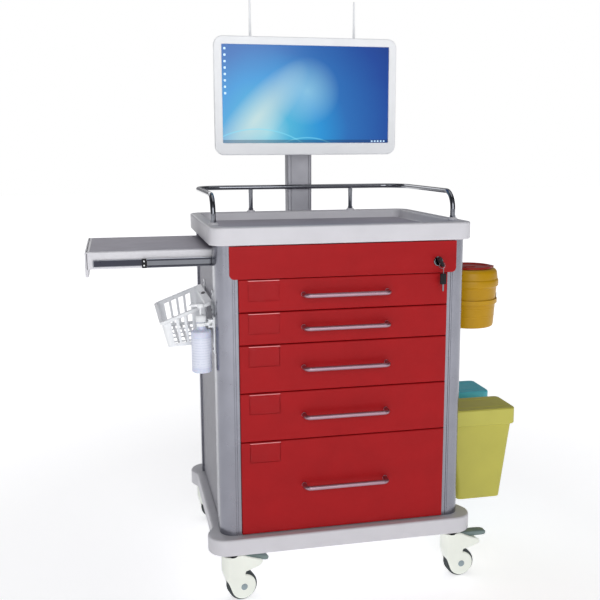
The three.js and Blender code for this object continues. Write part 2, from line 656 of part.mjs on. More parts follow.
// ---------------------------------------------------------------- waste bins
function makeBin(name, centreY, finish) {
  const { x0, x1, halfY, z0, lidZ0, z1, wall } = BIN;
  const topZ = z1 - 7;
  const section = (insetX, insetY, z, r) => ({
    x0: x0 + 2 + insetX, x1: x1 - 4 - insetX, y0: centreY - halfY + 4 + insetY,
    y1: centreY + halfY - 4 - insetY, r, z,
  });
  const outer = loft([section(30, 8, z0, 12), section(0, 0, topZ, 14)]);
  const inner = loft([
    section(30 + wall * 1.5, 8 + wall, z0 + wall, 10),
    section(wall * 1.5, wall, topZ + 1, 12),
  ]);
  const hooks = [-35, 35].flatMap((dy) => [
    block(312, x0 + 4, centreY + dy - 10, centreY + dy + 10, BIN_RAIL.z1 + GAP, BIN_RAIL.z1 + 4),
    block(312, 315, centreY + dy - 10, centreY + dy + 10, BIN_RAIL.z1 - 12, BIN_RAIL.z1 + 2),
  ]);
  add(name, join(cut(outer, inner), ...hooks), finish);

  // the lid has a skirt on three sides and turns on the edge next to the cart
  const cover = slabZ(roundedRect(x0, x1, centreY - halfY, centreY + halfY, 16), lidZ0, z1, 3, 3);
  const skirt = 2.8;
  const underside = roundedRect(
    x0 - 30, x1 - skirt, centreY - halfY + skirt, centreY + halfY - skirt, 13);
  const under = slabZ(underside, lidZ0 - 5, z1 - 4, 0, 3);
  const rearTrim = block(x0 - 5, x0 + 6, centreY - halfY - 5, centreY + halfY + 5, lidZ0 - 5, z1 - 4);
  add(`${name}_lid`, cut(cover, under, rearTrim), finish);
}

function makeBins() {
  const { y0, y1, z0, z1 } = BIN_RAIL;
  const x = PANEL.outerX + GAP;
  const profile = new THREE.Shape();
  profile.moveTo(x, z0);
  profile.lineTo(319, z0);
  profile.lineTo(319, z1);
  profile.lineTo(316.5, z1);
  profile.lineTo(316.5, z0 + 3);
  profile.lineTo(x + 2.5, z0 + 3);
  profile.lineTo(x + 2.5, z0 + 14);
  profile.lineTo(x, z0 + 14);
  profile.closePath();
  add("bin_rail", slabY(profile, y0, y1), aluminium);
  makeBin("bin_front", BIN_Y.front, limePlastic);
  makeBin("bin_rear", BIN_Y.rear, bluePlastic);
}

// ---------------------------------------------------------------- casters
// drawn with the swivel axis at the origin and the wheel trailing along +X
function forkGeometry() {
  const { trail, wheelR, wheelW, bodyW } = CASTER;
  const topZ = BASE.z0 - GAP;
  const cheekR = 32;
  const side = new THREE.Shape();
  side.moveTo(-25, topZ);
  side.lineTo(-25, 84);
  side.absarc(trail, wheelR, cheekR, Math.PI * 1.11, Math.PI * 2.39, false);
  side.lineTo(39, 77.8);
  side.lineTo(62, 82);
  side.lineTo(78, 88);
  side.lineTo(83, 94);
  side.lineTo(72, 101.5);
  side.lineTo(50, 110);
  side.lineTo(32, 118);
  side.lineTo(24, topZ);
  side.closePath();
  const body = slabY(side, -bodyW / 2, bodyW / 2, 0, 10);
  const slot = crossCylinder(wheelR + 2.5, trail, wheelR, -wheelW / 2 - 0.6, wheelW / 2 + 0.6, 24);
  const bore = crossCylinder(5.6, trail, wheelR, -bodyW, bodyW, 12);
  const head = cylinder(25, 0, 0, 96, topZ, 20);
  // well between the two cheeks where the brake lever swings
  const well = new THREE.Shape();
  well.moveTo(24, topZ + 5);
  well.lineTo(24, 104);
  well.lineTo(60, 97);
  well.lineTo(100, 86);
  well.lineTo(100, topZ + 5);
  well.closePath();
  const leverWell = slabY(well, -PEDAL.halfWidth - 0.8, PEDAL.halfWidth + 0.8);
  return cut(join(body, head), slot, bore, leverWell);
}

function wheelGeometry() {
  const { wheelR, wheelW, bodyW } = CASTER;
  const half = wheelW / 2;
  const cheek = bodyW / 2;
  const profile = [
    [0, -cheek - 2], [8, -cheek - 2], [8, -cheek - GAP], [5, -cheek - GAP], [5, -half],
    [33, -half], [wheelR, -half + 5], [wheelR, half - 5], [33, half],
    [5, half], [5, cheek + GAP], [8, cheek + GAP], [8, cheek + 2], [0, cheek + 2],
  ].map(([r, y]) => new THREE.Vector2(r, y));
  return new THREE.LatheGeometry(profile, 20);
}

// a brake lever between the fork's cheeks, drawn level with its pivot at the origin
function pedalGeometry() {
  const lever = new THREE.Shape();
  lever.moveTo(-6, -5);
  lever.lineTo(30, -6);
  lever.lineTo(60, -7);
  lever.lineTo(66, -2);
  lever.lineTo(63, 5);
  lever.lineTo(30, 7);
  lever.lineTo(-6, 6);
  lever.closePath();
  return slabY(lever, -PEDAL.halfWidth, PEDAL.halfWidth, 1.5);
}

function makeCaster(name, x, y, yaw, pedalTilt) {
  const group = new THREE.Group();
  group.position.set(x, y, 0);
  group.rotation.z = THREE.MathUtils.degToRad(yaw);
  add(`${name}_fork`, forkGeometry(), casterIvory, group);
  const wheel = add(`${name}_wheel`, wheelGeometry(), tyreGrey, group);
  wheel.position.set(CASTER.trail, 0, CASTER.wheelR);
  if (pedalTilt !== null) {
    const pedal = add(`${name}_pedal`, pedalGeometry(), pedalGrey, group);
    pedal.position.set(PEDAL.pivotX, 0, PEDAL.pivotZ);
    pedal.rotation.y = THREE.MathUtils.degToRad(pedalTilt);
  }
  cart.add(group);
}

function makeCasters() {
  const { frontX, rearX, y } = CASTER;
  const yaw = CASTER_YAW;
  makeCaster("caster_front_left", -frontX, -y, yaw.frontLeft, PEDAL.travel);
  makeCaster("caster_front_right", frontX, -y, yaw.frontRight, 0);
  makeCaster("caster_rear_left", -rearX, y, yaw.rearLeft, null);
  makeCaster("caster_rear_right", rearX, y, yaw.rearRight, null);
}

makeBase();
makeWorktop();
makeColumns();
makePanels();
makeGuardRail();
makeLockPanel();
makeDrawers();
makeSideShelf();
makePost();
makeMonitor();
makeBottle();
makeBasket();
makeSharpsTub();
makeBins();
makeCasters();

// move the cart so that the middle of its box in X and Y is the origin
cart.updateMatrixWorld(true);
const middle = new THREE.Box3().setFromObject(cart, true).getCenter(new THREE.Vector3());
cart.position.set(-middle.x, -middle.y, 0);

export default cart;
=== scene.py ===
"""Looks of the emergency cart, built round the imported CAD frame.

Shapes are drawn in millimetres from the middle of the cabinet, with +Z up. The drawers open towards -Y,
and +X is to the right of someone who faces them. piece() turns shapes into Blender objects in metres.
"""

from math import cos, pi, radians, sin, tan

import bmesh
import bpy
from mathutils import Matrix, Vector


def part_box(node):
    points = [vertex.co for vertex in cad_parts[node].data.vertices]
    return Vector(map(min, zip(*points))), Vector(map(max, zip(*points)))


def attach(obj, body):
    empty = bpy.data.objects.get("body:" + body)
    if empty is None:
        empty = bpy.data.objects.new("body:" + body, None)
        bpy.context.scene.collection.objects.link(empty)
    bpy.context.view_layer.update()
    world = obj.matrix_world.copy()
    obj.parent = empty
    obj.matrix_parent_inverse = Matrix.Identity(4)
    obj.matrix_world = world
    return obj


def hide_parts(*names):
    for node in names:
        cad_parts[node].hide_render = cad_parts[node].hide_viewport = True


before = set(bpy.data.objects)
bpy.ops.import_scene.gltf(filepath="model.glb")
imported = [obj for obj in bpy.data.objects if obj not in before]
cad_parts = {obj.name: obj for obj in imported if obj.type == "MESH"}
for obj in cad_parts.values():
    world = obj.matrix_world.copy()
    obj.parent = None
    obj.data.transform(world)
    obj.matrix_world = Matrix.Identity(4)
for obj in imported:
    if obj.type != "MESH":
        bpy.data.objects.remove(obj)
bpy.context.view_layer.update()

MM = 0.001
worktop_lo, worktop_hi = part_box("worktop")
CART = Vector(((worktop_lo.x + worktop_hi.x) / 2, (worktop_lo.y + worktop_hi.y) / 2, 0)) / MM


def cad(node):
    """A CAD node's lowest and highest corners, in millimetres from the middle of the cabinet."""
    lo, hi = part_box(node)
    return lo / MM - CART, hi / MM - CART


def put(name, data):
    """A new object in the scene."""
    made = bpy.data.objects.new(name, data)
    bpy.context.scene.collection.objects.link(made)
    return made


# ---------------- camera, light and floor
CAMERA_PLACE = Vector((-493.5, -2230.5, 1115.3)) * MM
CAMERA_YAW, CAMERA_PITCH, CAMERA_ROLL = radians(12.303), radians(-10.0), radians(-0.253)
CAMERA_LENS, CAMERA_SENSOR = 51.16, 36  # both in millimetres


def make_camera():
    data = bpy.data.cameras.new("camera")
    data.lens, data.sensor_width = CAMERA_LENS, CAMERA_SENSOR
    data.clip_start, data.clip_end = 0.05, 60
    camera = put("camera", data)
    level = Vector((sin(CAMERA_YAW), cos(CAMERA_YAW), 0))
    forward = level * cos(CAMERA_PITCH) + Vector((0, 0, sin(CAMERA_PITCH)))
    right = Vector((cos(CAMERA_YAW), -sin(CAMERA_YAW), 0))
    up = right.cross(forward)
    rolled_right = right * cos(CAMERA_ROLL) + up * sin(CAMERA_ROLL)
    rolled_up = up * cos(CAMERA_ROLL) - right * sin(CAMERA_ROLL)
    turn = Matrix((rolled_right, rolled_up, -forward)).transposed().to_4x4()
    camera.matrix_world = Matrix.Translation(CAMERA_PLACE) @ turn
    bpy.context.scene.camera = camera


def softbox(name, place, target, width, height, watts):
    data = bpy.data.lights.new(name, "AREA")
    data.shape, data.size, data.size_y, data.energy = "RECTANGLE", width, height, watts
    light = put(name, data)
    aim = Vector(target) - Vector(place)
    light.matrix_world = Matrix.Translation(place) @ aim.to_track_quat("-Z", "Y").to_matrix().to_4x4()


def make_studio():
    softbox("key_softbox", (-0.1, -4.1, 2.1), (0, 0, 0.7), 2.0, 2.4, 49)
    softbox("fill_softbox", (-2.7, -3.1, 1.5), (0, 0, 0.6), 1.2, 2.2, 6)
    softbox("top_softbox", (0.6, 0.2, 3.6), (0, 0, 0.5), 2.4, 2.4, 14)
    softbox("rear_softbox", (-1.0, 3.6, 2.4), (0, 0, 0.7), 2.4, 1.8, 20)
    make_world()
    make_floor()


def make_world():
    """A room that is bright in front of the cart and dim beside it; the camera itself sees plain white."""
    world = bpy.data.worlds.new("studio")
    bpy.context.scene.world = world
    world.use_nodes = True
    world.node_tree.nodes.clear()
    graph = Graph(world.node_tree)
    direction = graph.node("ShaderNodeTexCoord").outputs["Generated"]
    along_y = graph.node("ShaderNodeSeparateXYZ", Vector=direction).outputs["Y"]
    behind = graph.remap(along_y, -1, 1, 0, 1)
    sides = ((0.1, 0.56), (0.22, 0.2), (0.42, 0.08))
    greys = [(place, (shade, shade, shade * 1.06, 1)) for place, shade in sides]
    tone = graph.ramp(behind, [(0, (0.92, 0.92, 0.93, 1))] + greys + [(1, (0.42, 0.42, 0.44, 1))])
    room = graph.node("ShaderNodeBackground", Color=tone, Strength=0.68)
    white = graph.node("ShaderNodeBackground", Color=(1, 1, 1, 1))
    seen = graph.node("ShaderNodeLightPath").outputs["Is Camera Ray"]
    mix = graph.node("ShaderNodeMixShader", Fac=seen)
    graph.feed(mix.inputs[1], room.outputs[0])
    graph.feed(mix.inputs[2], white.outputs[0])
    graph.node("ShaderNodeOutputWorld", Surface=mix.outputs[0])


def make_floor():
    half = 20
    mesh = bpy.data.meshes.new("floor")
    corners = [(-half, -half, 0), (half, -half, 0), (half, half, 0), (-half, half, 0)]
    mesh.from_pydata(corners, [], [(0, 1, 2, 3)])
    floor = put("floor", mesh)
    finish = surface("studio_floor", (232, 232, 234), 0.8, 0.01, 4, 0.02)
    reach = finish.nodes.new("ShaderNodeVectorMath")
    reach.operation = "LENGTH"
    finish.feed(reach.inputs[0], finish.place)
    # The floor glows by itself, a painted light: weaker near the cart, so a soft shadow stays under it, and
    # full from about three metres out.
    glow = finish.remap(reach.outputs["Value"], 0.9, 3.2, 0.62, 1)
    finish.set(Emission_Color=(1, 1, 1, 1), Emission_Strength=glow, Specular_IOR_Level=0)
    mesh.materials.append(finish.material)


# ---------------- materials
def linear(colour):
    """An sRGB colour of 0 to 255, as linear RGBA."""
    channels = [c / 255 for c in colour]
    return [c / 12.92 if c <= 0.04045 else ((c + 0.055) / 1.055) ** 2.4 for c in channels] + [1.0]


class Graph:
    """A node tree, with short ways of adding nodes to it."""

    def __init__(self, tree):
        self.nodes, self.links = tree.nodes, tree.links

    def feed(self, socket, value):
        """Joins an output to the socket, or sets the socket to a plain value."""
        if isinstance(value, bpy.types.NodeSocket):
            self.links.new(value, socket)
        else:
            socket.default_value = value

    def node(self, kind, **inputs):
        made = self.nodes.new(kind)
        for name, value in inputs.items():
            self.feed(made.inputs[name.replace("_", " ")], value)
        return made

    def remap(self, value, low, high, to_low, to_high):
        limits = {"From_Min": low, "From_Max": high, "To_Min": to_low, "To_Max": to_high}
        return self.node("ShaderNodeMapRange", Value=value, **limits).outputs[0]

    def ramp(self, share, stops):
        """The colour at a share of the way along stops, which are (place, colour) pairs from 0 to 1."""
        made = self.node("ShaderNodeValToRGB", Fac=share)
        elements = made.color_ramp.elements
        elements[0].color, elements[1].color = stops[0][1], stops[-1][1]
        for place, colour in stops[1:-1]:
            elements.new(place).color = colour
        return made.outputs["Color"]


class Finish(Graph):
    """A material with its shader, and the kinds of nodes that its look is made of."""

    def __init__(self, name):
        self.material = bpy.data.materials.new(name)
        self.material.use_nodes = True
        super().__init__(self.material.node_tree)
        self.shader = next(n for n in self.nodes if n.type == "BSDF_PRINCIPLED")
        self.place = self.node("ShaderNodeTexCoord").outputs["Object"]

    def set(self, **values):
        for name, value in values.items():
            self.feed(self.shader.inputs[name.replace("_", " ")], value)

    def noise(self, size_mm, detail=2, stretch=(1, 1, 1)):
        """Noise whose blotches are about size_mm across, in the piece's own coordinates."""
        where = self.node("ShaderNodeMapping", Vector=self.place, Scale=stretch).outputs[0]
        fine = 1 / (size_mm * MM)
        return self.node("ShaderNodeTexNoise", Vector=where, Scale=fine, Detail=detail).outputs["Fac"]

    def math(self, operation, *values, clamp=False):
        made = self.nodes.new("ShaderNodeMath")
        made.operation, made.use_clamp = operation, clamp
        for socket, value in zip(made.inputs, values):
            self.feed(socket, value)
        return made.outputs[0]

    def times(self, first, second):
        return self.math("MULTIPLY", first, second)

    def blend(self, share, first, second):
        """first where share is 0 and second where it is 1; each is a colour or an output."""
        made = self.nodes.new("ShaderNodeMix")
        made.data_type = "RGBA"
        for place, value in (("Factor", share), (6, first), (7, second)):
            self.feed(made.inputs[place], value)
        return made.outputs[2]

    def split(self):
        """The piece's own X, Y and Z."""
        return self.node("ShaderNodeSeparateXYZ", Vector=self.place).outputs


def shades(colour, spread):
    """The colour a little darker and a little lighter."""
    base = linear(colour)
    return [c * (1 - spread) for c in base[:3]] + [1], [min(1, c * (1 + spread)) for c in base[:3]] + [1]


def surface(name, colour, rough, mottle, grain, depth, stretch=(1, 1, 1), wear_and_highlight=None, rough_spread=0.1):
    """Mottled colour, uneven gloss and a fine grain, with sharp edges lightened in patches towards a second
    colour: partly wear and partly a painted highlight.
    """
    finish = Finish(name)
    dark, light = shades(colour, mottle)
    tone = finish.blend(finish.remap(finish.noise(55, 3), 0.3, 0.7, 0, 1), dark, light)
    if wear_and_highlight:
        # Sharp edges lightened in patches: partly wear, partly a painted highlight.
        edge = finish.nodes.new("ShaderNodeNewGeometry").outputs["Pointiness"]
        rub_and_highlight = finish.math("MULTIPLY", finish.remap(edge, 0.52, 0.6, 0, 0.8), finish.noise(9, 3), clamp=True)
        tone = finish.blend(rub_and_highlight, tone, linear(wear_and_highlight))
    gloss = finish.remap(finish.noise(24, 4), 0.25, 0.75, rough - rough_spread / 2, rough + rough_spread / 2)
    bump = finish.node("ShaderNodeBump", Height=finish.noise(grain, 2, stretch), Distance=depth * MM)
    finish.set(Base_Color=tone, Roughness=gloss, Normal=bump.outputs[0])
    return finish


def plastic(name, colour, rough, mottle=0.04, grain=1.1, depth=0.05, wear_and_highlight=None, **extra):
    finish = surface(name, colour, rough, mottle, grain, depth, wear_and_highlight=wear_and_highlight)
    finish.set(**extra)
    return finish.material


def metal(name, colour, rough, stretch=(1, 1, 1), grain=1.5, depth=0.02, mottle=0.05, spread=0.08):
    finish = surface(name, colour, rough, mottle, grain, depth, stretch, None, spread)
    finish.set(Metallic=1.0)
    return finish.material


def clear_plastic(name):
    finish = surface(name, (190, 50, 56), 0.2, 0.02, 3, 0.01, rough_spread=0.06)
    finish.set(Alpha=0.05, Specular_IOR_Level=0.3)
    return finish.material


def label_paper(name, lo, hi):
    """A pale label with rows of plain grey lines, none of them lettering."""
    finish = surface(name, (226, 230, 246), 0.4, 0.02, 0.8, 0.01)
    row = finish.math("FRACT", finish.remap(finish.split()["Z"], lo * MM, hi * MM, 0, 11))
    band = finish.times(finish.math("GREATER_THAN", row, 0.3), finish.math("LESS_THAN", row, 0.62))
    ragged = finish.math("GREATER_THAN", finish.noise(7, 1, (1, 1, 0.25)), 0.44)
    ink = finish.times(finish.times(band, ragged), 0.55)
    finish.set(Base_Color=finish.blend(ink, linear((230, 234, 248)), linear((206, 213, 232))))
    return finish.material


def wallpaper(name, lo, hi):
    """A lit screen: blue, paler towards the lower left, with two thin arcs of light near the bottom."""
    finish = Finish(name)
    finish.set(Base_Color=(0.004, 0.006, 0.012, 1), Roughness=0.16, Specular_IOR_Level=0.35)
    place = finish.split()
    across = finish.remap(place["X"], lo.x, hi.x, 0, 1)
    upward = finish.remap(place["Z"], lo.z, hi.z, 0, 0.56)

    def distance(x, z, slope=0.0, squeeze=1.0):
        """How far a point is from (x, z), on a screen 1 wide and 0.56 high; slope leans the measure over."""
        dx = finish.math("SUBTRACT", across, x)
        dz = finish.math("SUBTRACT", upward, z)
        lean = finish.times(finish.math("SUBTRACT", dx, finish.times(dz, slope)), squeeze)
        return finish.math("SQRT", finish.math("ADD", finish.times(lean, lean), finish.times(dz, dz)))

    sky = [(0.0, (150, 214, 226)), (0.16, (58, 176, 216)), (0.34, (24, 146, 214)), (0.52, (30, 108, 184)),
           (0.8, (18, 70, 156)), (1.0, (14, 50, 130))]
    spread = finish.math("ADD", distance(0.26, 0.06), finish.times(finish.noise(90, 2), 0.05))
    tone = finish.ramp(spread, [(stop, linear(colour)) for stop, colour in sky])
    glow = finish.remap(distance(0.2, 0.14, 0.75, 1.9), 0.02, 0.34, 0.75, 0)
    tone = finish.blend(glow, tone, linear((206, 226, 220)))
    heart = finish.remap(distance(0.5, 0.3), 0.0, 0.2, 0.55, 0)
    tone = finish.blend(heart, tone, linear((170, 225, 240)))
    for x, z, radius in ((0.5, -0.3, 0.33), (0.2, -0.42, 0.5)):
        off = finish.math("ABSOLUTE", finish.math("SUBTRACT", distance(x, z), radius))
        tone = finish.blend(finish.remap(off, 0.0, 0.006, 0.6, 0), tone, linear((120, 220, 245)))
    bar = finish.math("LESS_THAN", upward, 0.018)
    tone = finish.blend(finish.times(bar, 0.55), tone, linear((16, 44, 84)))
    finish.set(Emission_Color=tone, Emission_Strength=0.95)
    return finish.material


# ---------------- solids
class Solid:
    """Vertices and faces in millimetres. finish is the place of its material in the piece's list."""

    def __init__(self, verts, faces, finish=0):
        self.verts, self.faces, self.finish = [Vector(v) for v in verts], faces, finish

    def moved(self, matrix):
        return Solid([matrix @ v for v in self.verts], self.faces, self.finish)

    def along_x(self):
        """Drawn upwards, turned to run along X."""
        return Solid([(v.z, v.y, v.x) for v in self.verts], self.faces, self.finish)

    def along_y(self):
        """Drawn upwards, turned to run along Y, its own Y becoming Z."""
        return Solid([(v.x, v.z, v.y) for v in self.verts], self.faces, self.finish)


def loft(rings, closed=False, finish=0):
    """A skin through rings of equal length. It is capped at both ends, or closed on itself."""
    count = len(rings[0])
    verts = [p for ring in rings for p in ring]
    faces = []
    for level in range(len(rings) if closed else len(rings) - 1):
        low, high = level * count, (level + 1) % len(rings) * count
        faces += [(low + i, low + (i + 1) % count, high + (i + 1) % count, high + i) for i in range(count)]
    if not closed:
        faces += [tuple(reversed(range(count))), tuple(range(len(verts) - count, len(verts)))]
    return Solid(verts, faces, finish)


def circle(steps):
    """Angles all the way round."""
    return [2 * pi * k / steps for k in range(steps)]


def quarter(steps):
    """Angles from nothing to a right angle."""
    return [k / steps * pi / 2 for k in range(steps + 1)]


def arc(x, y, radius, start, turn=1.0, steps=6):
    """(x, y) points along an arc about a centre; start and turn are counted in right angles."""
    angles = [(start + turn * k / steps) * pi / 2 for k in range(steps + 1)]
    return [(x + radius * cos(a), y + radius * sin(a)) for a in angles]


def rounded(x0, x1, y0, y1, radius, z, steps=6):
    """A rectangle with round corners, as a ring at height z."""
    radius = max(0.05, min(radius, (x1 - x0) / 2 - 0.01, (y1 - y0) / 2 - 0.01))
    left, right, near, far = x0 + radius, x1 - radius, y0 + radius, y1 - radius
    corners = ((right, far), (left, far), (left, near), (right, near))
    return [(px, py, z) for k, (x, y) in enumerate(corners) for px, py in arc(x, y, radius, k, 1, steps)]


def eased(z0, z1, low, high, steps=4):
    """(inset, height) pairs that round off the lower edge by `low` and the upper edge by `high`."""
    lower = [(low * (1 - sin(a)), z0 + low * (1 - cos(a))) for a in quarter(steps)]
    upper = [(high * (1 - cos(a)), z1 - high * (1 - sin(a))) for a in quarter(steps)]
    return lower + upper


def slab(x0, x1, y0, y1, z0, z1, corner, ease=1.0, top_ease=None, finish=0):
    """A plate with round corners in plan and rounded upper and lower edges."""
    levels = eased(z0, z1, ease, ease if top_ease is None else top_ease, 3)
    rings = [rounded(x0 + d, x1 - d, y0 + d, y1 - d, corner - d, z) for d, z in levels]
    return loft(rings, finish=finish)


def inset(outline, distance):
    """A closed outline of (x, y) points, running anticlockwise, moved inwards along its normals."""
    count, moved = len(outline), []
    for i in range(count):
        before, here, after = (Vector(outline[(i + k) % count]) for k in (-1, 0, 1))
        first, second = (here - before).normalized(), (after - here).normalized()
        normal = Vector((-(first.y + second.y), first.x + second.x))
        scale = max(0.35, normal.length / 2)
        moved.append(here + normal.normalized() * distance / scale)
    return moved


def extrusion(outline, levels):
    """An outline of (x, y) points carried through (inset, height) pairs."""
    return loft([[(p.x, p.y, z) for p in inset(outline, d)] for d, z in levels])


def lathe(profile, x=0.0, y=0.0, steps=40, closed=False, finish=0, wave=None):
    """Turns (radius, height) pairs about the upright axis at x, y. wave(angle) scales the radius."""
    waves = [(a, wave(a) if wave else 1) for a in circle(steps)]
    rings = [[(x + r * w * cos(a), y + r * w * sin(a), z) for a, w in waves] for r, z in profile]
    return loft(rings, closed, finish)


def bent(corners, arc_steps):
    """The line through corners (x, y, z, bend radius), with each inner corner rounded."""
    points = [Vector(corners[0][:3])]
    for before, corner, after in zip(corners, corners[1:], corners[2:]):
        here, radius = Vector(corner[:3]), corner[3]
        back, ahead = (Vector(before[:3]) - here).normalized(), (Vector(after[:3]) - here).normalized()
        half = back.angle(ahead) / 2
        centre = here + (back + ahead).normalized() * radius / sin(half)
        start = here + back * radius / tan(half) - centre
        axis, sweep_angle = back.cross(ahead).normalized(), pi - 2 * half
        for k in range(arc_steps + 1):
            points.append(centre + Matrix.Rotation(-sweep_angle * k / arc_steps, 3, axis) @ start)
    return points + [Vector(corners[-1][:3])]


def sweep(points, radius, sides=16, flat=1.0):
    """A round bar along a line. radius is a number or a function of the share of the line done, and flat
    squeezes the bar across."""
    points = [Vector(p) for p in points]
    along = [(b - a).normalized() for a, b in zip(points, points[1:])]
    along = [along[0]] + [(a + b).normalized() for a, b in zip(along, along[1:])] + [along[-1]]
    side = along[0].orthogonal().normalized()
    rings = []
    for i, (point, direction) in enumerate(zip(points, along)):
        side = (side - direction * side.dot(direction)).normalized()
        other = direction.cross(side)
        reach = radius(i / (len(points) - 1)) if callable(radius) else radius
        rings.append([point + (side * cos(a) + other * sin(a) * flat) * reach for a in circle(sides)])
    return loft(rings)


def tube(corners, radius, sides, arc_steps=8):
    return sweep(bent(corners, arc_steps), radius, sides)


def upright(centre, direction):
    """The matrix that carries something drawn upwards at the origin to centre, pointing along direction."""
    turn = Vector(direction).to_track_quat("Z", "Y").to_matrix().to_4x4()
    return Matrix.Translation(Vector(centre)) @ turn


def screw(centre, direction, radius=3.2, finish=0):
    """A pan head with a six-sided socket."""
    def socket(angle):
        return 1 / cos((angle + pi / 6) % (pi / 3) - pi / 6)

    dome = [(radius, -0.6), (radius, 0.5), (radius * 0.93, 1.1), (radius * 0.7, 1.6), (radius * 0.5, 1.75)]
    head = lathe(dome, steps=18)
    well = lathe([(radius * 0.5, 1.75), (radius * 0.42, 0.8)], steps=18, wave=socket)
    rings = [head.verts[i * 18:(i + 1) * 18] for i in range(4)] + [well.verts[:18], well.verts[18:]]
    return loft(rings, finish=finish).moved(upright(centre, direction))


# ---------------- pieces
def piece(name, solids, finishes, body, replaces=(), angle=32):
    """One object made of solids, riding on a body and taking the given finishes."""
    verts, faces, paints = [], [], []
    for solid in solids if isinstance(solids, list) else [solids]:
        start = len(verts)
        verts += [(v + CART) * MM for v in solid.verts]
        faces += [tuple(start + i for i in face) for face in solid.faces]
        paints += [solid.finish] * len(solid.faces)
    mesh = bpy.data.meshes.new(name)
    mesh.from_pydata(verts, [], faces)
    mesh.polygons.foreach_set("material_index", paints)
    for finish in finishes if isinstance(finishes, list) else [finishes]:
        mesh.materials.append(finish)
    work = bmesh.new()
    work.from_mesh(mesh)
    bmesh.ops.recalc_face_normals(work, faces=work.faces)
    work.to_mesh(mesh)
    work.free()
    mesh.shade_smooth()
    mesh.set_sharp_from_angle(angle=radians(angle))
    made = put(name, mesh)
    made.modifiers.new("even_shading", "WEIGHTED_NORMAL").keep_sharp = True
    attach(made, body)
    if replaces:
        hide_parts(*replaces)


def shading_group():
    """A node group that shades smooth except across edges sharper than 32 degrees."""
    group = bpy.data.node_groups.new("shade_by_angle", "GeometryNodeTree")
    for way in ("INPUT", "OUTPUT"):
        group.interface.new_socket("Geometry", in_out=way, socket_type="NodeSocketGeometry")
    graph = Graph(group)
    angle = graph.node("GeometryNodeInputMeshEdgeAngle").outputs[0]
    sharp = graph.node("FunctionNodeCompare", A=angle, B=radians(32))
    sharp.operation = "GREATER_THAN"
    faces = graph.node("GeometryNodeSetShadeSmooth", Geometry=graph.node("NodeGroupInput").outputs[0])
    edges = graph.node("GeometryNodeSetShadeSmooth", Geometry=faces.outputs[0], Selection=sharp.outputs[0])
    edges.domain = "EDGE"
    edges.inputs["Shade Smooth"].default_value = False
    graph.node("NodeGroupOutput", Geometry=edges.outputs[0])
    return group


def keep(node, finish, edge):
    """Keeps a CAD node's shape, with its edges eased by a modifier and a better material."""
    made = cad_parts[node]
    for holder in made.material_slots:
        holder.material = finish
    weld = made.modifiers.new("weld", "WELD")
    weld.merge_threshold = 0.00001
    dissolve = made.modifiers.new("dissolve", "DECIMATE")
    dissolve.decimate_type, dissolve.angle_limit = "DISSOLVE", radians(2)
    bevel = made.modifiers.new("ease", "BEVEL")
    bevel.width, bevel.segments = edge * MM, 2
    bevel.limit_method, bevel.angle_limit = "ANGLE", radians(38)
    made.modifiers.new("shade", "NODES").node_group = SHADING
    made.modifiers.new("even_shading", "WEIGHTED_NORMAL").keep_sharp = True


SHADING = shading_group()

# ---------------- the cart's finishes
SHELL = plastic("moulded_shell", (212, 211, 216), 0.42, 0.03, 1.3, 0.05, wear_and_highlight=(228, 228, 232))
# A darker grey for the tray floor and the shelf top: painted shade over the shell's own plastic.
TRAY_PAINTED_SHADE = plastic("tray_painted_shade", (173, 169, 181), 0.6, 0.05, 1.6, 0.14)
RED = plastic("red_coat", (164, 15, 21), 0.42, 0.05, 2.2, 0.05, wear_and_highlight=(184, 44, 48), Specular_IOR_Level=0.16)
PANEL = plastic("grey_sheet", (134, 133, 141), 0.52, 0.05, 1.4, 0.07, wear_and_highlight=(160, 160, 168))
ALUMINIUM = metal("brushed_aluminium", (144, 145, 154), 0.25, (14, 14, 0.12), 6, 0.03, 0.05)
MAST = metal("anodised_mast", (152, 152, 158), 0.42, (14, 14, 0.12), 6, 0.03, 0.05)
CHROME = metal("chrome", (122, 124, 130), 0.1, grain=9, depth=0.012, mottle=0.04, spread=0.06)
# The handles' pink tint is a painted reflection of the red drawer fronts.
SATIN_PINK_REFLECTION = metal("satin_bar_pink_reflection", (176, 146, 158), 0.4, grain=2.5, depth=0.012, mottle=0.04)
STEEL = metal("zinc_steel", (150, 153, 160), 0.38, grain=7, depth=0.02, mottle=0.12)
LINER = plastic("drawer_liner", (204, 205, 208), 0.5, 0.03, 1.8, 0.05)
WHITE = plastic("white_plastic", (243, 245, 247), 0.36, 0.02, 1.2, 0.03)
BLACK = plastic("black_plastic", (20, 20, 23), 0.5, 0.12, 0.9, 0.06, wear_and_highlight=(60, 60, 66),
                Specular_IOR_Level=0.2)
BOTTLE = plastic("bottle_wall", (216, 221, 240), 0.26, 0.02, 5, 0.04, Subsurface_Weight=0.12,
                 Subsurface_Scale=0.004)
YELLOW = plastic("sharps_yellow", (190, 143, 6), 0.36, 0.05, 1.6, 0.05, wear_and_highlight=(220, 172, 50),
                 Specular_IOR_Level=0.25)
CAP_RED = plastic("sharps_cap_red", (158, 30, 14), 0.36, 0.06, 1.4, 0.05, Specular_IOR_Level=0.25)
LIME = plastic("bin_yellow_green", (192, 186, 78), 0.46, 0.03, 1.9, 0.07)
LIME_LID = plastic("bin_yellow_green_lid", (196, 191, 84), 0.46, 0.03, 1.9, 0.07)
BLUE = plastic("bin_blue", (78, 180, 196), 0.46, 0.03, 1.9, 0.07)
IVORY = plastic("caster_ivory", (246, 250, 240), 0.34, 0.02, 1.4, 0.03)
TYRE = plastic("tyre_rubber", (50, 57, 59), 0.74, 0.16, 0.8, 0.12, wear_and_highlight=(104, 110, 112))
PEDAL = plastic("pedal_grey", (118, 136, 134), 0.48, 0.06, 1.0, 0.08, wear_and_highlight=(150, 166, 164))
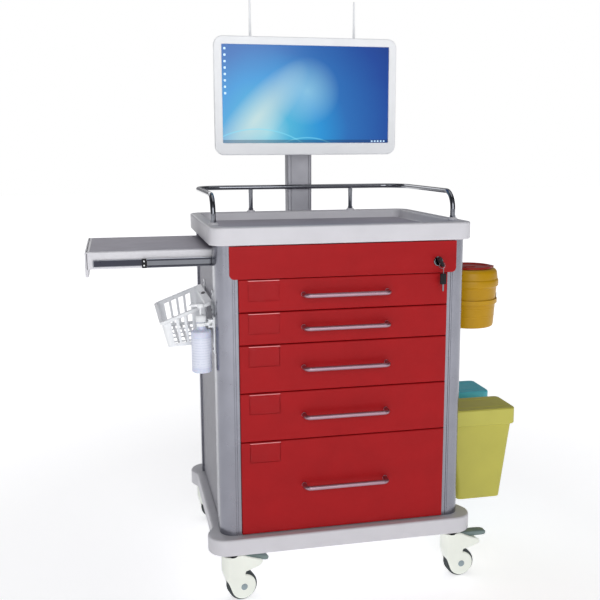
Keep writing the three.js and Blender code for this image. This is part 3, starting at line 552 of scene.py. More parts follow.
HUB = plastic("hub_cap", (148, 164, 170), 0.4, 0.04, 1.2, 0.04)
BAND = plastic("plain_dark_band", (24, 28, 50), 0.3, 0.08, 2.0, 0.02)
CLEAR = clear_plastic("clear_pocket")
# Pale pink for the clear pocket's top lip: a painted highlight.
POCKET_LIP_HIGHLIGHT = plastic("pocket_lip_painted_highlight", (246, 158, 160), 0.16, 0.03, 3, 0.01)
TILE = plastic("tile_light", (190, 215, 235), 0.4, 0.1, 1.5, 0.01, Emission_Strength=0.6,
               Emission_Color=linear((180, 214, 240)))


# ---------------- base and worktop
LOBE_FRONT, LOBE_REAR, LOBE_RUN = -222, 226, 44  # where the base's side bends in and out again
BASE_CORNER, BASE_WAIST = 48, 15


def base_outline(half_x, half_y):
    def side_x(y):
        """The base's half width at y: full at the two lobes and drawn in between them."""
        front = min(1, max(0, (y - LOBE_FRONT) / LOBE_RUN))
        rear = min(1, max(0, (LOBE_REAR - y) / LOBE_RUN))
        share = min(front, rear)
        return half_x - BASE_WAIST * share * share * (3 - 2 * share)

    def corner(x, y, start):
        return arc(x, y, BASE_CORNER, start, 1, 10)

    steps = 56
    low, high = BASE_CORNER - half_y, half_y - BASE_CORNER
    side = [low + (high - low) * k / steps for k in range(1, steps)]
    inner_x = half_x - BASE_CORNER
    right = corner(inner_x, low, -1) + [(side_x(y), y) for y in side] + corner(inner_x, high, 0)
    left = corner(-inner_x, high, 1) + [(-side_x(y), y) for y in reversed(side)] + corner(-inner_x, low, 2)
    return right + left


def make_base():
    lo, hi = cad("base")
    outline = base_outline(hi.x, hi.y)
    pocket = [(x * 0.68, y * 0.91) for x, y in outline]
    roof, floor_z = hi.z - 8, lo.z
    rings = [[(x, y, roof) for x, y in pocket], [(x, y, floor_z) for x, y in pocket]]
    for d, z in eased(lo.z, hi.z, 4, 5):
        rings.append([(p.x, p.y, z) for p in inset(outline, d)])
    piece("base_shell", loft(rings), SHELL, "cabinet", ["base"])


RAIL_FEET = [(-308, -165), (308, -165), (-150, 245), (150, 245)]
TRAY_FLOOR_Z = 914
RIM = 30
COLLAR_HEIGHT = 6


def make_worktop():
    lo, hi = cad("worktop")
    top, floor_z = hi.z - COLLAR_HEIGHT, TRAY_FLOOR_Z
    levels = [(d, 38 - d, z) for d, z in eased(lo.z, top, 4, 4.5, 5)]
    levels += [(RIM - 4, 30, top), (RIM - 2, 28, top - 0.8), (RIM - 0.6, 26.6, top - 2.6), (RIM, 26, top - 5)]
    levels += [(RIM + 3, 23, floor_z + 5), (RIM + 4.4, 21.6, floor_z + 1.6), (RIM + 8, 19, floor_z)]
    rings = [rounded(d - hi.x, hi.x - d, d - hi.y, hi.y - d, r, z, 10) for d, r, z in levels]
    collar = [(12.6, -2), (12.6, 0.4), (11.4, 2.6), (9.4, 4.4), (8, 5), (6, 5)]
    collars = [lathe([(r, top + z) for r, z in collar], x, y, 28) for x, y in RAIL_FEET]
    piece("worktop_tray", [loft(rings)] + collars, SHELL, "cabinet", ["worktop"])
    x, y = hi.x - RIM - 9, hi.y - RIM - 9
    # A thin darker sheet on the tray floor: painted shade.
    shade_sheet = slab(-x, x, -y, y, floor_z - 0.5, floor_z + 1.6, 18, 0.3, 0.8)
    piece("worktop_shade_sheet", shade_sheet, TRAY_PAINTED_SHADE, "cabinet")


def make_guard_rail():
    lo, hi = cad("guard_rail")
    radius = 6.5
    x, front, rear, z = hi.x - radius, lo.y + radius, hi.y - radius, hi.z - radius
    foot_z = lo.z - 1
    right = [(x, rear, z, 70), (x, front, z, 45), (x, front, foot_z)]
    left = [(-corner[0],) + corner[1:] for corner in reversed(right)]
    solids = [tube(left + right, radius, 20, 12)]
    flare = [(6.2, foot_z), (6.2, z - 7), (6.5, z - 5), (6.8, z - 3.4), (6.8, z - 2)]
    solids += [lathe(flare, post_x, post_y, 20) for post_x, post_y in RAIL_FEET[2:]]
    foot = [(6, lo.z), (7.8, lo.z), (7.8, lo.z + 2.4), (6, lo.z + 3)]
    solids += [lathe(foot, foot_x, foot_y, 24) for foot_x, foot_y in RAIL_FEET]
    piece("rail", solids, CHROME, "cabinet", ["guard_rail"])


# ---------------- columns and panels
def groove(start, direction, inward, width=2.4, depth=1.5):
    """Four outline points of a shallow groove."""
    start, direction, inward = Vector(start), Vector(direction), Vector(inward)
    slope = width * 0.2
    floor_start = start + direction * slope + inward * depth
    floor_end = start + direction * (width - slope) + inward * depth
    return [start, floor_start, floor_end, start + direction * width]


def column_outline(width, depth, radius=34):
    """Plan of a column with its inner front corner at the origin and its big round corner at +X."""
    front = [(0, 0)] + groove((7, 0), (1, 0), (0, 1))
    crease = groove((width - radius - 5, 0), (1, 0), (0, 1), 1.8, 0.9)
    bend = arc(width - radius, radius, radius, -1, 1, 14)
    return front + crease + bend + groove((width, depth - 11), (0, 1), (-1, 0)) + [(width, depth), (0, depth)]


def make_columns():
    for name in ("front_left", "front_right", "rear_left", "rear_right"):
        lo, hi = cad(f"column_{name}")
        side_x = -1 if "left" in name else 1
        side_y = 1 if "front" in name else -1
        levels = [(0.4, lo.z), (0, lo.z + 0.4), (0, hi.z - 0.4), (0.4, hi.z)]
        shape = extrusion(column_outline(hi.x - lo.x, hi.y - lo.y), levels)
        corner = Vector((lo.x if side_x > 0 else hi.x, lo.y if side_y > 0 else hi.y, 0))
        placed = shape.moved(Matrix.Translation(corner) @ Matrix.Diagonal((side_x, side_y, 1, 1)))
        piece(f"upright_{name}", placed, ALUMINIUM, "cabinet", [f"column_{name}"])


def make_panels():
    for node in ("left_panel", "right_panel", "back_panel"):
        keep(node, PANEL, 0.8)
    heads = []
    for side, node in ((-1, "left_panel"), (1, "right_panel")):
        lo, hi = cad(node)
        x = lo.x if side < 0 else hi.x
        for y in (lo.y + 14, hi.y - 14):
            for z in (lo.z + 16, hi.z - 16):
                heads.append(screw((x, y, z), (side, 0, 0)))
    lo, hi = cad("back_panel")
    for x in (lo.x + 18, 0, hi.x - 18):
        for z in (lo.z + 18, hi.z - 18):
            if x or z > 800:
                heads.append(screw((x, hi.y, z), (0, 1, 0)))
    piece("panel_screws", heads, STEEL, "cabinet")


# ---------------- drawers and lock
POCKET_X = (-240, -164)
LOCK_X = 235


def make_drawer(number):
    keep(f"drawer_{number}_front", RED, 1.2)
    keep(f"drawer_{number}_box", LINER, 0.5)
    body = f"drawer_{number}"
    lo, hi = cad(f"drawer_{number}_front")
    bar_lo, bar_hi = cad(f"drawer_{number}_handle")
    radius = 6
    end, reach, z = bar_hi.x - radius, bar_lo.y + radius, (bar_lo.z + bar_hi.z) / 2
    route = [(-end, lo.y, z), (-end, reach, z, 13), (end, reach, z, 13), (end, lo.y, z)]
    foot = lathe([(6.2, -0.2), (6.2, 0.4), (5.9, 0.8), (5.4, 0.9)], steps=24)
    feet = [foot.moved(upright((x, lo.y, z), (0, -1, 0))) for x in (-end, end)]
    bar = [tube(route, radius - 0.3, 18)] + feet
    piece(f"handle_{number}", bar, SATIN_PINK_REFLECTION, body, [f"drawer_{number}_handle"])
    make_pocket(number, body, lo, hi)


def make_pocket(number, body, lo, hi):
    """A clear label pocket: a thin pane in a raised border, with a thicker lip along the top, coloured pale
    pink as a painted highlight.
    """
    x0, x1 = POCKET_X
    top = hi.z - 2.5
    bottom = max(top - 50, lo.z + 8)
    face = lo.y

    def frame_ring(d, y, radius):
        return rounded(x0 + d, x1 - d, bottom + d, top - d, radius, y)

    outer = [frame_ring(d, y, 2.5) for d, y in ((0, face), (0, face - 1.6), (0.5, face - 2.1))]
    inner = [frame_ring(d, y, 1) for d, y in ((1.1, face - 2.1), (1.4, face - 1.6), (1.4, face))]
    pane = slab(x0 + 1, x1 - 1, bottom + 1, top - 1, face - 1.1, face - 0.5, 1, 0.2).along_y()
    border = loft(outer + inner, closed=True).along_y()
    lip = slab(x0, x1, face - 2.8, face - 0.4, top - 1, top + 0.6, 0.8, 0.5, finish=1)
    piece(f"label_pocket_{number}", [pane, border, lip], [CLEAR, POCKET_LIP_HIGHLIGHT], body)


def make_lock():
    keep("lock_panel", RED, 1.4)
    x, face, z = LOCK_X, cad("lock_panel")[0].y, cad("lock_cylinder")[1].z - 11
    collar = [(9.6, 0), (12.2, 0), (12.2, 2.2), (11.2, 3.4), (9.9, 3.6), (9.6, 2.6)]
    ring = lathe(collar, steps=36, closed=True)
    core = lathe([(9.6, -20), (9.6, 2.0), (9.0, 2.5), (3.0, 2.5)], steps=32)
    blade = slab(-1.1, 1.1, -4.4, 4.4, 1, 12, 0.4, 0.2)
    sections = ((2.2, 9, 9.6), (3.6, 12, 10.4), (3.9, 13, 13), (3.9, 13, 21), (3.4, 12, 24), (2, 9, 25.4))
    bow = loft([rounded(-w, w, -h, h, 3.3, out, 6) for w, h, out in sections], finish=1)
    lean = Matrix.Rotation(radians(-24), 4, "Y") @ Matrix.Rotation(radians(90), 4, "X")
    placed = [part.moved(Matrix.Translation((x, face, z)) @ lean) for part in (ring, core, blade, bow)]
    piece("lock_and_key", placed, [CHROME, BLACK], "lock", ["lock_cylinder"])
    make_spare_key(x, face - 19, z)


def make_spare_key(x, y, z):
    """A second key, hanging by a split ring from the one in the lock."""
    wires = []
    for angle in circle(24):
        outward = Vector((sin(angle), 0, cos(angle)))
        middle = Vector((x + 3, y, z - 8)) + outward * 7.5
        wires.append([middle + (outward * cos(a) + Vector((0, 1, 0)) * sin(a)) * 0.7 for a in circle(8)])
    head_z = z - 41
    head = slab(x - 1.5, x + 14.5, y - 2.8, y + 3.2, head_z - 14, head_z + 13, 2.6, 2.2, finish=1)
    shaft = slab(x + 4.6, x + 8.6, y - 0.8, y + 1.2, head_z - 31, head_z - 12, 0.5, 0.4)
    link = tube([(x + 6.5, y, z - 14), (x + 6.5, y, head_z + 11)], 1.1, 8)
    parts = [loft(wires, closed=True), head, shaft, link]
    piece("spare_key", parts, [CHROME, BLACK], "cabinet")


# ---------------- side shelf
SHELF_Y = (-165, 182)
SHELF_SILL, SHELF_SKIN = 838, 6
SHELF_MEMBER_Z = (843, 860)
SLIDE_HALF_HEIGHT = 11


def make_shelf():
    lo, hi = cad("side_shelf")
    (y0, y1), sill, skin, top = SHELF_Y, SHELF_SILL, SHELF_SKIN, hi.z
    inside = [(y0 + skin, sill), (y0 + skin, top - skin), (y1 - skin, top - skin), (y1 - skin, sill)]
    outside = [(y1, sill)] + arc(y1 - 3, top - 3, 3, 0, 1, 4) + arc(y0 + 3, top - 3, 3, 1, 1, 4)
    section = [(y0, sill)] + inside + outside
    board = extrusion([(z, y) for y, z in reversed(section)], [(0, lo.x + 4), (0, hi.x)]).along_x()
    lip = slab(lo.z, hi.z, y0, y1, lo.x, lo.x + 8, 3, 2.4).along_x()
    piece("shelf_board", [board, lip], SHELL, "shelf", ["side_shelf"])
    # A thin darker sheet on the shelf top: painted shade.
    shade_sheet = slab(lo.x + 11, hi.x - 6, y0 + 12, y1 - 12, hi.z - 0.6, hi.z + 0.9, 4, 0.2, 0.5)
    piece("shelf_shade_sheet", shade_sheet, TRAY_PAINTED_SHADE, "shelf")

    (z0, z1), members = SHELF_MEMBER_Z, []
    for y, out in ((y0, -1), (y1, 1)):
        near, far = sorted((y - out * 0.5, y + out * 3.5))
        members.append(slab(lo.x + 18, lo.x + 378, near, far, z0, z1, 1.6, 1.2))
        near, far = sorted((y + out * 3.2, y + out * 3.9))
        members.append(slab(lo.x + 20, lo.x + 132, near, far, z0 + 1.4, z1 - 1.4, 0.3, 0.1, finish=1))
    piece("shelf_inner_members", members, [STEEL, BAND], "shelf")
    make_slide("front")
    make_slide("rear")
    keep("shelf_carrier", STEEL, 0.4)


def make_slide(name):
    """A slide's middle member: a channel with two dark lines of painted reflection, and the black stop on its
    outer end with two white dots of painted highlight.
    """
    lo, hi = cad(f"shelf_slide_{name}")
    middle, half = (lo.z + hi.z) / 2, SLIDE_HALF_HEIGHT
    out, back, step = (lo.y, hi.y, 1) if name == "front" else (hi.y, lo.y, -1)
    edge = [(back, half), (out + step * 0.6, half), (out, half - 1.4), (out, half - 4.5)]
    edge.append((out + step * 1.5, half - 5.6))
    profile = [(y, middle - h) for y, h in edge] + [(y, middle + h) for y, h in reversed(edge)]
    channel = loft([[(x, y, z) for y, z in profile] for x in (lo.x, hi.x)])
    # Two dark navy lines on the chrome channel: painted reflections.
    near, far = sorted((out - step * 0.25, out + step))
    reflection_lines = [slab(lo.x + 11, hi.x - 2, near, far, middle + a, middle + b, 0.4, 0.1, finish=1)
             for a, b in ((-9.6, -6.6), (6.4, 9.8))]
    piece(f"slide_member_{name}", [channel] + reflection_lines, [CHROME, BAND], "shelf_middle_members",
          [f"shelf_slide_{name}"])
    near, far = sorted((out - step * 0.2, back))
    stop = [slab(lo.x - 1, lo.x + 11, near, far, middle - half - 0.4, middle + half + 0.4, 1.5, 1)]
    # Two white dots on the black stop: painted highlights.
    dot = lathe([(1.9, -0.5), (1.9, 0)], steps=16, finish=1)
    glint_spots = [(lo.x + 4, out - step * 0.26, z) for z in (middle - 5, middle + 5)]
    stop += [dot.moved(upright(spot, (0, -step, 0))) for spot in glint_spots]
    piece(f"slide_stop_{name}", stop, [BLACK, WHITE], "shelf_middle_members")


# ---------------- screen and post
POST_FRONT_Y = 264
POST_JOINT_Z = 1261
REAR_SHELL_Y = 205  # the flat part of the monitor's rear shell
AERIAL_Y, AERIAL_Z = 217, 1398


def post_outline(half_x, y0, y1):
    """Plan of the post: a box section with round corners and grooves down every side."""
    middle = (y0 + y1) / 2
    front = groove((-28, y0), (1, 0), (0, 1), 3, 2.2) + groove((25, y0), (1, 0), (0, 1), 3, 2.2)
    right = groove((half_x, middle - 1.5), (0, 1), (-1, 0), 3, 2)
    back = groove((28, y1), (-1, 0), (0, -1), 3, 2.2) + groove((-25, y1), (-1, 0), (0, -1), 3, 2.2)
    left = groove((-half_x, middle + 1.5), (0, -1), (1, 0), 3, 2)
    corners = ((half_x - 4, y0 + 4), (half_x - 4, y1 - 4), (4 - half_x, y1 - 4), (4 - half_x, y0 + 4))
    outline = []
    for k, (side, (x, y)) in enumerate(zip((front, right, back, left), corners)):
        outline += side + arc(x, y, 4, k - 1, 1, 4)
    return outline


def make_post():
    lo, hi = cad("monitor_post")
    half_x, y0, middle = hi.x, POST_FRONT_Y, POST_JOINT_Z
    levels = [(0.4, lo.z + 3), (0, lo.z + 3.4), (0, hi.z - 3.4), (0.4, hi.z - 3)]
    solids = [extrusion(post_outline(half_x, y0, hi.y), levels)]
    solids += [slab(-half_x, half_x, y0, hi.y, z, z + 3, 4, 0.8, finish=1) for z in (lo.z, hi.z - 3)]
    panel_y, under_worktop = cad("back_panel")[1].y + 0.3, cad("worktop")[0].z - 5
    solids.append(slab(-20, 20, panel_y, y0 + 1, lo.z + 12, under_worktop, 2, 1.2))
    solids += [slab(-24, 24, lo.y, y0 + 1, middle + z, middle + z + 16, 5, 1.5) for z in (-30, 14)]
    pin = [(6, -29), (6, 31), (8.5, 31), (8.5, 33), (7, 34.5)]
    solids.append(lathe([(r, middle + z) for r, z in pin], 0, lo.y + 12, 24))
    holes = [(x, y0 - 0.2, middle + z) for x in (-30, 30) for z in (-22, 22)]
    solids += [screw(hole, (0, -1, 0), 3.4) for hole in holes]
    piece("screen_mast", solids, [MAST, BLACK], "cabinet", ["monitor_post"])
    keep("tilt_head", BLACK, 1.0)


def make_monitor():
    lo, hi = cad("monitor_bezel")
    glass_lo, glass_hi = cad("monitor_screen")
    front, rear = lo.y, hi.y

    def frame_ring(low, high, d, radius, y):
        ring = rounded(low.x + d, high.x - d, low.z + d, high.z - d, radius, 0, 8)
        return [(x, y, z) for x, z, _ in ring]

    def outer(d, y):
        return frame_ring(lo, hi, d, 25 - d, y)

    def window(d, y):
        return frame_ring(glass_lo, glass_hi, d - 0.3, 1.5, y)

    rings = [outer(0.6, rear), outer(0, rear - 0.8)]
    rings += [outer(3.2 * (1 - cos(a)), front + 3.2 * (1 - sin(a))) for a in quarter(5)]
    rings += [window(-1.6, front), window(-0.6, front + 0.5), window(0, front + 1.6), window(0, rear)]
    piece("screen_bezel", loft(rings, closed=True), WHITE, "monitor", ["monitor_bezel"])

    picture = wallpaper("lit_wallpaper", *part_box("monitor_screen"))
    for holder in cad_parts["monitor_screen"].material_slots:
        holder.material = picture
    make_tiles(glass_lo, glass_hi)
    keep("monitor_back", WHITE, 1.6)
    make_rear_shell_detail(lo, hi)


def make_tiles(lo, hi):
    """Plain squares down the screen's left side and at its lower right."""
    def tile(x, z, width, height, corner):
        return slab(x, x + width, z, z + height, lo.y - 0.35, lo.y + 0.1, corner, 0.1).along_y()

    tiles = [tile(lo.x + 5, hi.z - 14 - 17 * k, 6, 6, 1.4) for k in range(8)]
    tiles += [tile(hi.x - 14 - 9 * k, lo.z + 2.2, 5, 4, 1) for k in range(5)]
    piece("screen_tiles", tiles, TILE, "monitor")


def make_rear_shell_detail(lo, hi):
    """Louvres and screws on the rear shell."""
    rear, solids = REAR_SHELL_Y, []
    for count, z0, z1 in ((30, hi.z - 78, hi.z - 40), (18, lo.z + 34, lo.z + 58)):
        for x in (12 * k - 6 * (count - 1) for k in range(count)):
            solids.append(slab(x - 3.4, x + 3.4, z0, z1, rear - 1, rear + 1.6, 3, 1.2).along_y())
    solids += [screw((x, rear, z), (0, 1, 0), 3.2, finish=1)
               for x in (lo.x + 30, hi.x - 30) for z in (lo.z + 30, hi.z - 34)]
    piece("screen_back_louvres", solids, [WHITE, STEEL], "monitor")


def make_aerials():
    for name in ("aerial_left", "aerial_right"):
        lo, hi = cad(name)
        x, y, z, tip = (lo.x + hi.x) / 2, AERIAL_Y, AERIAL_Z, hi.z
        rod = [(4.6, z - 2), (4.6, z + 10), (4.2, z + 11), (4.2, z + 16), (3.9, z + 17), (2.5, tip - 3),
               (2.1, tip - 1.2), (1.2, tip - 0.2)]
        hub = lathe([(5.4, 0), (7, 0.8), (7, 11.6), (5.8, 13)], steps=28)
        hub = hub.moved(upright((x, y - 7.2, z), (0, 1, 0)))
        solids = [lathe(rod, x, y, 20), hub, screw((x, y + 5.6, z), (0, 1, 0), 3, finish=1)]
        piece(name.replace("aerial", "aerial_rod"), solids, [WHITE, STEEL], name, [name])


# ---------------- hand-rub bottle
SHOULDER = 103  # the shoulder's height above the bottle's foot


def make_bottle():
    lo, hi = cad("bottle")
    x, y = (lo.x + hi.x) / 2, (lo.y + hi.y) / 2
    z0, r = lo.z, (hi.x - lo.x) / 2
    body = [(-9, 1.6), (-5, 0), (-2.6, 0.6), (-0.6, 2.4), (0, 5), (0, 11), (-0.5, 12), (-0.5, 88), (0, 89),
            (0, SHOULDER - 3.4), (-0.7, SHOULDER - 1.2), (-2.4, SHOULDER + 0.4), (-5.4, SHOULDER + 1.4)]
    neck = [(12.4, 3), (11, 4.6), (10.6, 7), (10.6, 22), (4.2, 22), (4.2, 3)]
    flask = [(r + d, z0 + z) for d, z in body] + [(d, z0 + SHOULDER + z) for d, z in neck]
    piece("flask", lathe(flask, x, y, 56), BOTTLE, "bottle", ["bottle"])
    wrap = [(-0.5, 14), (-0.1, 14.4), (-0.1, 85.6), (-0.5, 86)]
    label = lathe([(r + d, z0 + z) for d, z in wrap], x, y, 56)
    paper = label_paper("flask_label_paper", z0 + 14, z0 + 86)
    piece("flask_label", label, paper, "bottle")

    def knurl(angle):
        return 1 + 0.025 * cos(angle * 28)

    cap_z = z0 + SHOULDER + 21
    cap = [(11.6, 0), (12.2, 1), (12.2, 11), (11.6, 13.6), (9.6, 16.2), (6, 17.4), (3.8, 17.4), (3.8, 0)]
    collar = lathe([(r, cap_z + z) for r, z in cap], x, y, 112, True, wave=knurl)
    piece("flask_cap", collar, WHITE, "bottle")

    top = cad("bottle_pump")[1].z
    stem = lathe([(3, cap_z + 10), (3, top - 9), (5, top - 8.4), (5, top - 6)], x, y, 20)
    sections = ((6.5, 11), (8, 10), (8.8, 7), (8.8, 3), (7.6, 0.9), (5.4, 0))
    head = loft([rounded(x - w, x + w, y - w, y + w, w - 0.2, top - drop, 8) for w, drop in sections])
    drops = ((2, 4.6), (12, 4.4), (20, 4.8), (24.4, 5.8), (25.6, 7.6))
    route = [(x - out, y, top - drop) for out, drop in drops]
    spout = sweep(route, lambda share: 4.5 - 1.1 * share, 16, flat=0.86)
    piece("pump", [stem, head, spout], WHITE, "pump", ["bottle_pump"])
    keep("bottle_bracket", WHITE, 0.8)
    bracket_lo, bracket_hi = cad("bottle_bracket")
    ring_z = z0 + SHOULDER + 16
    solids = [slab(x + 17, bracket_hi.x - 3, y - 9, y + 9, ring_z - 9, ring_z + 11, 3, 2)]
    solids += [screw((bracket_hi.x - 3.5, y, z), (-1, 0, 0), 3.2, finish=1)
               for z in (bracket_lo.z + 10, bracket_hi.z - 8)]
    piece("bracket_arm", solids, [WHITE, STEEL], "cabinet")


# ---------------- basket
# Its floor is nearly level and its rim slants down from the cart, so the outer wall is the lower one.
BASKET_HOOK = Vector((-322, -24, 748))
BASKET_TILT, BASKET_SLANT = radians(3.4), radians(17.6)
BASKET_WIDTH, BASKET_HALF, BASKET_DEPTH = 131, 143, 106
BASKET_RIM = (-116.5, -7, 134)  # the walls' outer x, inner x and half length at the rim
BASKET_FOOT = (-107.2, -7.6, 126)  # and at the floor
BASKET_WALL = 2.6
SLOT, SLOT_PITCH = 13, 20


def slotted_stops(low, high):
    """Places along a wall where slots begin and end, centred between low and high."""
    count = int((high - low) // SLOT_PITCH)
    start = (low + high) / 2 - count * SLOT_PITCH / 2 + (SLOT_PITCH - SLOT) / 2
    return [start + SLOT_PITCH * k + offset for k in range(count) for offset in (0, SLOT)]


def scratch_object(name, verts, faces):
    """An object for modifiers to work on, which is removed again by evaluated()."""
    mesh = bpy.data.meshes.new(name)
    mesh.from_pydata(verts, [], faces)
    return put(name, mesh)


def evaluated(made):
    done = made.evaluated_get(bpy.context.evaluated_depsgraph_get())
    solid = Solid([v.co.copy() for v in done.data.vertices], [tuple(p.vertices) for p in done.data.polygons])
    bpy.data.objects.remove(made)
    return solid


def thicken(name, verts, faces):
    """A sheet given thickness and softened edges, as a Solid."""
    rough = scratch_object(name, verts, faces)
    solidify = rough.modifiers.new("thick", "SOLIDIFY")
    solidify.thickness, solidify.offset = BASKET_WALL, 0
    bevel = rough.modifiers.new("soft", "BEVEL")
    bevel.width, bevel.segments, bevel.limit_method, bevel.angle_limit = 0.6, 2, "ANGLE", radians(40)
    return evaluated(rough)


def basket_plan(x0, x1, half_y, radius):
    """Points round the walls, and whether a slot follows each one."""
    left, right, end = x0 + radius, x1 - radius, half_y - radius
    along_x, along_y = slotted_stops(left - 1, right + 1), slotted_stops(-end, end)
    corners = ((right, -end), (right, end), (left, end), (left, -end))
    sides = ([(x1, y) for y in along_y], [(x, half_y) for x in reversed(along_x)],
             [(x0, y) for y in reversed(along_y)], [(x, -half_y) for x in along_x])
    plan, slot_after = [], []
    for k, ((x, y), side) in enumerate(zip(corners, sides)):
        bend = arc(x, y, radius, k - 1)
        plan += bend + side
        slot_after += [False] * len(bend) + [i % 2 == 0 for i in range(len(side))]
    return plan, slot_after


def basket_walls():
    upper, slot_after = basket_plan(*BASKET_RIM, 11)
    (rim_x0, rim_x1, rim_y), (foot_x0, foot_x1, foot_y) = BASKET_RIM, BASKET_FOOT
    rows = [[] for _ in range(4)]
    for x, y in upper:
        low_x = foot_x0 + (x - rim_x0) / (rim_x1 - rim_x0) * (foot_x1 - foot_x0)
        low_y = y * foot_y / rim_y
        rim_z = x * tan(BASKET_SLANT) - 1
        for row, z in zip(rows, (rim_z, rim_z - 10, 9 - BASKET_DEPTH, 1.5 - BASKET_DEPTH)):
            share = (rim_z - z) / (rim_z + BASKET_DEPTH)
            row.append((x + (low_x - x) * share, y + (low_y - y) * share, z))
    count, faces = len(upper), []
    for level in range(3):
        for i in range(count):
            if not (slot_after[i] and level == 1):
                a, b = level * count + i, level * count + (i + 1) % count
                faces.append((a, b, b + count, a + count))
    return thicken("basket_walls", sum(rows, []), faces)


def basket_floor():
    x0, x1, half_y = BASKET_FOOT
    bars = 5
    run = 2 * half_y / bars
    xs = [x0] + slotted_stops(x0 + 9, x1 - 9) + [x1]
    ys = [-half_y] + [run * k - half_y + d for k in range(bars) for d in (5, run - 5)] + [half_y]
    verts = [(x, y, 1.5 - BASKET_DEPTH) for y in ys for x in xs]
    wide, faces = len(xs), []
    for j in range(len(ys) - 1):
        for i in range(wide - 1):
            if not (i % 2 and j % 2):
                a = j * wide + i
                faces.append((a, a + 1, a + 1 + wide, a + wide))
    return thicken("basket_floor", verts, faces)


def make_basket():
    place = Matrix.Translation(BASKET_HOOK) @ Matrix.Rotation(-BASKET_TILT, 4, "Y")
    slant = Matrix.Rotation(-BASKET_SLANT, 4, "Y")
    inner_edge, wide = 8, 15
    eye_x = inner_edge - 8

    def outline(d, r, z):
        return rounded(d - BASKET_WIDTH, inner_edge - d, d - BASKET_HALF, BASKET_HALF - d, r, z, 8)

    def mouth(d, z):
        half_y = BASKET_HALF - 9 - d
        return rounded(9 + d - BASKET_WIDTH, inner_edge - wide - d, -half_y, half_y, 10, z, 8)

    def oval(half_x, half_y, z):
        return [(eye_x + half_x * cos(a), half_y * sin(a), z) for a in circle(28)]

    outside = [outline(1, 13, -8), outline(0, 14, -7), outline(0, 14, -1.2), outline(1, 13, 0)]
    inside = [mouth(-1, 0), mouth(0, -1.2), mouth(0, -3.4), outline(2.4, 11.6, -3.4), outline(2.4, 11.6, -8)]
    rim = loft(outside + inside, closed=True)
    border = loft([oval(*ring) for ring in ((6.6, 19, -1), (6.6, 19, 0.8), (5.8, 18.2, 1.2), (5.2, 17.6, 0.6),
                                            (5.2, 17.6, -1))], closed=True)
    eye = loft([oval(5.4, 17.8, -1.5), oval(5.4, 17.8, 0.5)], finish=1)
    parts = [part.moved(slant) for part in (rim, border, eye)] + [basket_walls(), basket_floor()]
    placed = [part.moved(place) for part in parts]
    piece("slotted_basket", placed, [WHITE, BLACK], "basket", ["basket"])

    x, z, hooks = cad("left_panel")[0].x, BASKET_HOOK.z, []
    for y in (BASKET_HOOK.y - 96, BASKET_HOOK.y + 96):
        hooks.append(slab(x - 2.6, x, y - 11, y + 11, z - 36, z + 22, 2, 0.8))
        hooks.append(slab(x - 9, x - 1, y - 6, y + 6, z - 16, z - 12.5, 2, 1))
        hooks += [screw((x - 2.6, y, z + d), (-1, 0, 0), 3, finish=1) for d in (13, -28)]
    piece("basket_hooks", hooks, [WHITE, STEEL], "cabinet")


# ---------------- sharps tub
def make_sharps():
    lo, hi = cad("sharps_tub")
    x, y = (lo.x + hi.x) / 2, (lo.y + hi.y) / 2
    z0, high, big = lo.z, hi.z - lo.z, (hi.x - lo.x) / 2
    foot = [(58, 2), (60, 0), (64, 0.6), (66.6, 2.4), (67.6, 5.4), (68.2, 9), (74.2, 108), (74.8, 109.4)]
    band = [(2, 111), (0.3, 113), (0, 117), (0.3, 126), (1.8, 130), (3.2, 131.2), (2.6, 133), (4.4, 147),
            (5.6, 151), (8.4, 155), (12, 157.4), (15, high)]
    inside = [(54, high), (52, high - 0.8), (52, high - 3), (70, 148), (72, 112), (65.6, 6), (62, 3.4)]
    outline = foot + [(big - d, z) for d, z in band] + inside + [(50, 3)]
    tub = lathe([(r, z0 + z) for r, z in outline], x, y, 72)
    piece("tub", tub, YELLOW, "sharps_tub", ["sharps_tub"])
    seams = [lathe([(r, z), (r + 0.5, z + 0.5), (r + 0.5, z + 1.5), (r, z + 2)], x, y, 72)
             for r, z in ((69.5, z0 + 30), (70.8, z0 + 52))]
    piece("tub_ribs", seams, YELLOW, "sharps_tub")

    z = cad("sharps_lid")[0].z
    dish = [(20, 0.4), (59, 0), (61, 0.8), (61, 4.2), (60, 5.6), (57.6, 6), (55.6, 5.2), (54.6, 3.2),
            (52, 2.2), (18, 2.6), (16, 4.4), (13, 5), (4, 5)]
    cap = [lathe([(r, z + up) for r, up in dish], x, y, 64)]
    cap.append(slab(x + 57, x + 69, y - 10, y + 10, z, z + 3.8, 4, 1.2))
    cap += [slab(x - 34 + 7 * k, x - 31 + 7 * k, y - 22, y + 22, z + 2, z + 4.2, 1.4, 0.9) for k in range(3)]
    piece("tub_cap", cap, CAP_RED, "sharps_lid", ["sharps_lid"])

    keep("sharps_holder", YELLOW, 0.9)
    band_z = cad("sharps_holder")[0].z
    clip = slab(x + 74.4, x + 79, y - 9, y + 9, band_z + 19, band_z + 43, 2, 1.4)
    hold = screw((x + 79, y, band_z + 32), (1, 0, 0), 3)
    piece("holder_clip", [clip, hold], BLACK, "cabinet")


# ---------------- bins
def make_bin(name, finish, lid_finish):
    keep(name, finish, 1.0)
    keep(f"{name}_lid", lid_finish, 2.0)
    lo, hi = cad(f"{name}_lid")
    middle = (lo.y + hi.y) / 2
    detail = [slab(hi.x - 3.4, hi.x + 2.6, middle - 22, middle + 22, lo.z + 2, lo.z + 12, 2.4, 1.6)]
    for y in (middle - 34, middle + 34):
        detail.append(slab(lo.x + 18, hi.x - 22, y - 1.4, y + 1.4, hi.z - 0.6, hi.z + 0.8, 1.2, 0.7))
    piece(f"{name}_lid_detail", detail, lid_finish, f"{name}_lid")


